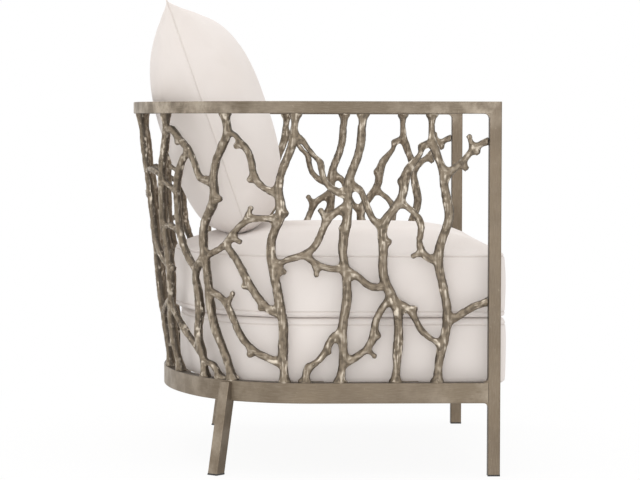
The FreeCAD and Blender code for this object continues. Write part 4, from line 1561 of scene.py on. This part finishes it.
@dataclass
class BackPillow:
    """Knife-edged pillow that leans against the back, its seam running right round it."""

    low: Vector
    high: Vector
    width: float = 0.452
    height: float = 0.462
    front_depth: float = 0.109
    back_depth: float = 0.090
    draw: float = 0.018
    foot_draw: float = 0.002
    ear_power: float = 3.5
    foot_round: float = 0.022
    sag: float = 0.026
    lean: float = 19.2
    count: int = 96
    edge_power: float = 2.8
    side_fullness: float = 0.55
    top_fullness: float = 0.60
    foot_fullness: float = 0.50
    foot_power: int = 6
    spacing_power: float = 2.3
    rim_parts: int = 4
    sunk: float = 1.0 * MM
    press_reach: float = 0.06
    press_gap: float = 0.4 * MM
    ray_from: float = 1.0
    cap: float = 0.006

    def build(self, finish: bpy.types.Material, thread: bpy.types.Material,
              carrier: bpy.types.Object) -> bpy.types.Object:
        """Sew, swell, lean and dress the pillow.

        Args:
            finish: Cloth.
            thread: Thread of the seam.
            carrier: Cushion that it stands on.

        Returns:
            The finished piece.
        """
        spots, faces, rim = self.skin()
        mesh = bpy.data.meshes.new("back_pillow")
        mesh.from_pydata(spots.tolist(), [], faces)
        layer = mesh.uv_layers.new(name="cloth")
        loops = np.empty(len(mesh.loops), np.int32)
        mesh.loops.foreach_get("vertex_index", loops)
        layer.data.foreach_set("uv", spots[loops][:, (0, 2)].astype(np.float32).ravel())
        face_out(mesh)
        smooth(mesh)
        piece = linked("back_pillow", mesh)
        away = self.rim_distance(spots, rim)
        free = np.zeros(len(spots))
        work = Cloth(piece, away, free, self.cap, voxel=0.006, pucker=0.0011, pucker_reach=0.05)
        work.swell()
        work.sew()
        self.stand(piece, carrier)
        hand_over(piece, Body.PILLOW, Slot.FABRIC, finish, "pillow_cover", "pillow_filling")
        SeamStitches("pillow_stitches", Body.PILLOW).build(piece, [rim], thread)
        return piece

    def skin(self) -> tuple[Array, list[tuple[int, ...]], Array]:
        """Two faces that share their rim.

        Returns:
            Vertex places, faces, and the rim's vertices in order.
        """
        count = self.count
        share = np.linspace(-1, 1, count + 1)
        line = np.sign(share) * (1 - (1 - np.abs(share)) ** self.spacing_power)
        a, b = np.meshgrid(line, line, indexing="ij")
        x = a * (self.width / 2 - self.draw * (1 - np.abs(b) ** self.ear_power))
        hollow = np.where(b > 0, self.draw, self.foot_draw) * (1 - np.abs(a) ** self.ear_power)
        z = b * (self.height / 2 - hollow)
        foot = self.foot_round * np.maximum(-b, 0) ** self.foot_power * np.abs(a) ** self.foot_power
        x, z = x - np.sign(a) * foot, z + foot
        across = np.maximum(1 - np.abs(a) ** self.edge_power, 0) ** self.side_fullness
        fullness = np.where(b > 0, self.top_fullness, self.foot_fullness)
        bulge = across * np.maximum(1 - np.abs(b) ** self.edge_power, 0) ** fullness
        front = np.stack([x, -self.front_depth * bulge, z], axis=2).reshape(-1, 3)
        back = np.stack([x, self.back_depth * bulge, z - self.sag * bulge], axis=2).reshape(-1, 3)
        side = count + 1
        index = np.arange(side * side).reshape(side, side)
        inside = np.zeros((side, side), bool)
        inside[1:-1, 1:-1] = True
        behind = index.copy()
        behind[inside] = side * side + np.arange(inside.sum())
        spots = np.vstack([front, back[inside.ravel()]])
        faces = []
        for grid, order in ((index, 1), (behind, -1)):
            for i in range(count):
                for j in range(count):
                    face = (grid[i, j], grid[i + 1, j], grid[i + 1, j + 1], grid[i, j + 1])
                    faces.append(tuple(int(k) for k in face[::order]))
        rim = np.concatenate([index[:-1, 0], index[-1, :-1], index[:0:-1, -1], index[0, :0:-1]])
        return spots, faces, rim

    def rim_distance(self, spots: Array, rim: Array) -> Array:
        """Distance of every vertex from the seam.

        Args:
            spots: Vertex places.
            rim: The rim's vertices in order.

        Returns:
            One distance for each vertex.
        """
        ring = spots[rim]
        step = np.roll(ring, -1, 0) - ring
        parts = [ring + step * part / self.rim_parts for part in range(self.rim_parts)]
        tree = tree_of(np.vstack(parts))
        return np.array([tree.find(spot)[2] for spot in spots])

    def stand(self, piece: bpy.types.Object, carrier: bpy.types.Object) -> None:
        """Lean the pillow back, set it into its place and press its foot flat on the cushion.

        Args:
            piece: The pillow.
            carrier: Cushion that it stands on.
        """
        mesh = piece.data
        mesh.transform(Matrix.Rotation(-math.radians(self.lean), 4, "X"))
        spots = places(mesh)
        middle = (self.low.y + self.high.y) / 2 - (spots[:, 1].min() + spots[:, 1].max()) / 2
        spots += np.array([0.0, middle - self.sunk, self.low.z - self.sunk - spots[:, 2].min()])
        tree = BVHTree.FromPolygons([v.co for v in carrier.data.vertices],
                                    [p.vertices for p in carrier.data.polygons])
        for spot in spots:
            if spot[2] < self.low.z + self.press_reach:
                hit = tree.ray_cast(Vector((spot[0], spot[1], self.ray_from)), Vector((0, 0, -1)))[0]
                if hit is not None:
                    spot[2] = max(spot[2], hit.z + self.press_gap)
        put(mesh, spots)


@dataclass
class SeamStitches:
    """Rows of stitches that follow seams, made by a node tree and kept as a plain mesh."""

    name: str
    body: Body
    pitch: float = 0.0034
    length: float = 0.0026
    thickness: float = 0.0006
    proud: float = 0.1 * MM

    def build(self, piece: bpy.types.Object, lines: list[Array], thread: bpy.types.Material) -> None:
        """Stitch along closed rows of a piece's vertices.

        Args:
            piece: The sewn piece.
            lines: Vertices of each seam, in order.
            thread: Material of the thread.
        """
        spots = places(piece.data) + outwards(piece.data) * self.proud
        points, edges = [], []
        for line in lines:
            start = len(points)
            points += spots[line].tolist()
            edges += [(start + i, start + (i + 1) % len(line)) for i in range(len(line))]
        mesh = bpy.data.meshes.new(self.name)
        mesh.from_pydata(points, edges, [])
        made = linked(self.name, mesh)
        sewing = made.modifiers.new("sewing", "NODES")
        sewing.node_group = self.tree()
        sizes = {"Pitch": self.pitch, "Length": self.length, "Thickness": self.thickness, "Thread": thread}
        for item in sewing.node_group.interface.items_tree:
            if item.in_out == "INPUT" and item.name in sizes:
                sewing[item.identifier] = sizes[item.name]
        settle_modifiers(made)
        smooth(made.data)
        hand_over(made, self.body, Slot.FABRIC, thread)

    def tree(self) -> bpy.types.NodeTree:
        """Node tree that lays one stitch at each pitch along a line of edges.

        Returns:
            The new tree, with named inputs for its sizes.
        """
        tree = bpy.data.node_groups.new("seam_stitches", "GeometryNodeTree")
        tree.interface.new_socket("Seam", in_out="INPUT", socket_type="NodeSocketGeometry")
        for name in ("Pitch", "Length", "Thickness"):
            tree.interface.new_socket(name, in_out="INPUT", socket_type="NodeSocketFloat")
        tree.interface.new_socket("Thread", in_out="INPUT", socket_type="NodeSocketMaterial")
        tree.interface.new_socket("Stitches", in_out="OUTPUT", socket_type="NodeSocketGeometry")
        new = tree.nodes.new
        given, result = new("NodeGroupInput"), new("NodeGroupOutput")
        curve, even = new("GeometryNodeMeshToCurve"), new("GeometryNodeResampleCurve")
        even.mode = "LENGTH"
        ball, size = new("GeometryNodeMeshUVSphere"), new("GeometryNodeTransform")
        for name, value in (("Segments", 6), ("Rings", 4), ("Radius", 0.5)):
            ball.inputs[name].default_value = value
        scale = new("ShaderNodeCombineXYZ")
        tangent, turn = new("GeometryNodeInputTangent"), new("FunctionNodeAlignRotationToVector")
        turn.axis = "X"
        lay, real = new("GeometryNodeInstanceOnPoints"), new("GeometryNodeRealizeInstances")
        paint = new("GeometryNodeSetMaterial")
        joins = (
            (given, "Seam", curve, "Mesh"), (curve, "Curve", even, "Curve"), (given, "Pitch", even, "Length"),
            (given, "Length", scale, "X"), (given, "Thickness", scale, "Y"), (given, "Thickness", scale, "Z"),
            (ball, "Mesh", size, "Geometry"), (scale, "Vector", size, "Scale"),
            (tangent, "Tangent", turn, "Vector"), (even, "Curve", lay, "Points"),
            (size, "Geometry", lay, "Instance"), (turn, "Rotation", lay, "Rotation"),
            (lay, "Instances", real, "Geometry"), (real, "Geometry", paint, "Geometry"),
            (given, "Thread", paint, "Material"), (paint, "Geometry", result, "Stitches"),
        )
        for start, output, end, entry in joins:
            tree.links.new(start.outputs[output], end.inputs[entry])
        return tree


@dataclass
class Upholstery:
    """Deck, loose seat cushion and loose pillow."""

    sizes: ChairSizes
    deck_low: float = 0.7 * MM
    deck_down: float = 0.6 * MM
    cushion_low: float = 0.3 * MM

    def deck(self) -> BoxedPad:
        """Tight deck: its band is tucked in below the seat rail's top, and a seam runs under its top edge.

        Returns:
            The pad, not built yet.
        """
        low, top = self.sizes.seat_top + self.deck_low, self.sizes.deck_top - self.deck_down
        profile = [(low + rise, roll) for rise, roll in DECK_SIDE]
        profile += [(top + rise, roll) for rise, roll in DECK_TOP]
        return BoxedPad("deck_upholstery", Body.FRAME, ("deck_cover", "deck_foam"),
                        self.sizes.soft_plan(self.sizes.seat_top), self.sizes.front, profile,
                        [low + DECK_SEAM], crown=0.0, crown_reach=0.19, fill=0.85, cap=0.003, top_rows=8)

    def cushion(self) -> BoxedPad:
        """Boxed cushion with a crowned top.

        Returns:
            The pad, not built yet.
        """
        low = self.sizes.deck_top + self.cushion_low
        profile = [(low + rise, roll) for rise, roll in CUSHION_SIDE]
        seams = [low + rise for rise in CUSHION_SEAMS]
        return BoxedPad("seat_cushion_pad", Body.CUSHION, ("seat_cushion_cover", "seat_cushion_foam"),
                        self.sizes.soft_plan(self.sizes.deck_top), self.sizes.front, profile, seams,
                        crown=0.0245, crown_reach=0.17, fill=0.8, cap=0.006)

    def build(self) -> None:
        """Make and dress the soft pieces from the bottom up."""
        cloth = OutdoorCloth("outdoor_cloth").material()
        thread = THREAD.material()
        self.deck().build(cloth, thread)
        cushion = self.cushion().build(cloth, thread)
        BackPillow(*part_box("pillow_cover")).build(cloth, thread, cushion)


# Studio

@dataclass(frozen=True)
class Lamp:
    """Soft square lamp that points at the chair."""

    name: str
    spot: tuple[float, float, float]
    size: float
    power: float

    def build(self, aim: Vector) -> None:
        """Hang the lamp.

        Args:
            aim: Point that it shines at.
        """
        light = bpy.data.lights.new(self.name, "AREA")
        light.size = self.size
        light.energy = self.power
        made = bpy.data.objects.new(self.name, light)
        made.location = self.spot
        made.rotation_euler = (aim - Vector(self.spot)).to_track_quat("-Z", "Y").to_euler()
        bpy.context.scene.collection.objects.link(made)


@dataclass
class Studio:
    """Pale floor, soft light and the photograph's viewpoint."""

    eye: tuple[float, float, float] = (-4.5927, 0.1459, 0.6415)
    yaw: float = -2.0155
    pitch: float = 2.9316
    roll: float = 0.1128
    lens: float = 133.09
    sensor: float = 36.0
    aim: tuple[float, float, float] = (0.0, 0.0, 0.35)
    world_light: float = 0.81
    world_colour: Colour = (1.0, 0.985, 0.97)
    floor_colour: Colour = (0.93, 0.925, 0.92)
    floor_half: float = 9.0
    clear_from: float = 0.62
    clear_to: float = 1.15
    clear_near: float = 0.93
    lamps: tuple[Lamp, ...] = (
        Lamp("top_lamp", (-0.4, 0.0, 4.2), size=4.0, power=60.0),
        Lamp("key_lamp", (-3.5, 0.8, 1.6), size=2.6, power=14.0),
        Lamp("front_lamp", (-4.4, 0.30, 0.40), size=0.8, power=20.0),
        Lamp("back_lamp", (1.8, 1.8, 2.4), size=1.8, power=10.0),
    )

    def build(self) -> None:
        """Set up the whole studio."""
        bpy.context.scene.view_settings.view_transform = "Standard"
        self.camera()
        self.world()
        self.floor()
        for lamp in self.lamps:
            lamp.build(Vector(self.aim))

    def camera(self) -> None:
        """Stand the camera where the photograph was taken."""
        yaw, pitch, roll = (math.radians(angle) for angle in (self.yaw, self.pitch, self.roll))
        ahead = Vector((math.cos(yaw) * math.cos(pitch), math.sin(yaw) * math.cos(pitch), -math.sin(pitch)))
        level = Vector((math.sin(yaw), -math.cos(yaw), 0.0))
        rise = level.cross(ahead)
        right = level * math.cos(roll) + rise * math.sin(roll)
        up = rise * math.cos(roll) - level * math.sin(roll)
        data = bpy.data.cameras.new("photo_camera")
        data.sensor_width = self.sensor
        data.lens = self.lens
        made = bpy.data.objects.new("photo_camera", data)
        made.matrix_world = Matrix.Translation(self.eye) @ Matrix((right, up, -ahead)).transposed().to_4x4()
        bpy.context.scene.collection.objects.link(made)
        bpy.context.scene.camera = made

    def seen(self, tree: bpy.types.NodeTree) -> bpy.types.NodeSocket:
        """1 for rays that show the background to the camera, straight or through gloss and glass.

        Args:
            tree: Node tree of the world or the floor.

        Returns:
            A value of 0 or 1.
        """
        path = tree.nodes.new("ShaderNodeLightPath")
        total = path.outputs["Is Camera Ray"]
        for name in ("Is Glossy Ray", "Is Transmission Ray"):
            most = tree.nodes.new("ShaderNodeMath")
            most.operation = "MAXIMUM"
            tree.links.new(total, most.inputs[0])
            tree.links.new(path.outputs[name], most.inputs[1])
            total = most.outputs["Value"]
        return total

    def world(self) -> None:
        """White surroundings that light the chair softly."""
        world = bpy.data.worlds.new("white_room")
        world.use_nodes = True
        bpy.context.scene.world = world
        tree = world.node_tree
        tree.nodes.clear()
        soft, white = (tree.nodes.new("ShaderNodeBackground") for _ in range(2))
        soft.inputs["Color"].default_value = (*self.world_colour, 1.0)
        soft.inputs["Strength"].default_value = self.world_light
        white.inputs["Color"].default_value = (1.0, 1.0, 1.0, 1.0)
        white.inputs["Strength"].default_value = 1.0
        mix, out = tree.nodes.new("ShaderNodeMixShader"), tree.nodes.new("ShaderNodeOutputWorld")
        tree.links.new(self.seen(tree), mix.inputs[0])
        tree.links.new(soft.outputs[0], mix.inputs[1])
        tree.links.new(white.outputs[0], mix.inputs[2])
        tree.links.new(mix.outputs[0], out.inputs["Surface"])

    def floor(self) -> None:
        """Pale floor that keeps the chair's shadow and runs out to white."""
        half = self.floor_half
        mesh = bpy.data.meshes.new("studio_floor")
        corners = [(-half, -half, 0), (half, -half, 0), (half, half, 0), (-half, half, 0)]
        mesh.from_pydata(corners, [], [(0, 1, 2, 3)])
        graph = Graph("pale_floor")
        tree = graph.tree
        graph.set(Base_Color=(*self.floor_colour, 1.0), Roughness=0.9, Specular_IOR_Level=0.1)
        far = graph.node("ShaderNodeVectorMath", {0: graph.place()}, operation="LENGTH").outputs["Value"]
        clear = graph.span(far, self.clear_from, self.clear_to, self.clear_near, 1.0)
        share = graph.sum("MULTIPLY", clear, self.seen(tree))
        white = graph.node("ShaderNodeEmission", {"Strength": 1.0})
        mix = graph.node("ShaderNodeMixShader", {0: share, 1: graph.shader.outputs[0], 2: white.outputs[0]})
        out = next(node for node in tree.nodes if node.type == "OUTPUT_MATERIAL")
        tree.links.new(mix.outputs[0], out.inputs["Surface"])
        mesh.materials.append(graph.material)
        linked("studio_floor", mesh)


def small_parts() -> None:
    """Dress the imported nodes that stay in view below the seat."""
    dress_node("deck_board", BOARD.material())
    dress_node("deck_screws", SCREW.material())
    glide = GLIDE.material()
    for side in ("right", "left"):
        for end in ("front", "rear"):
            dress_node(f"{side}_{end}_glide", glide)


def main() -> None:
    """Build the chair in order."""
    logging.basicConfig(level=logging.INFO, format="%(name)s %(message)s")
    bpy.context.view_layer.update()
    sizes = ChairSizes.read()
    Studio().build()
    TubeFrame(sizes).build()
    TwigLattice(sizes).build()
    Upholstery(sizes).build()
    small_parts()


if __name__ == "__main__":
    main()
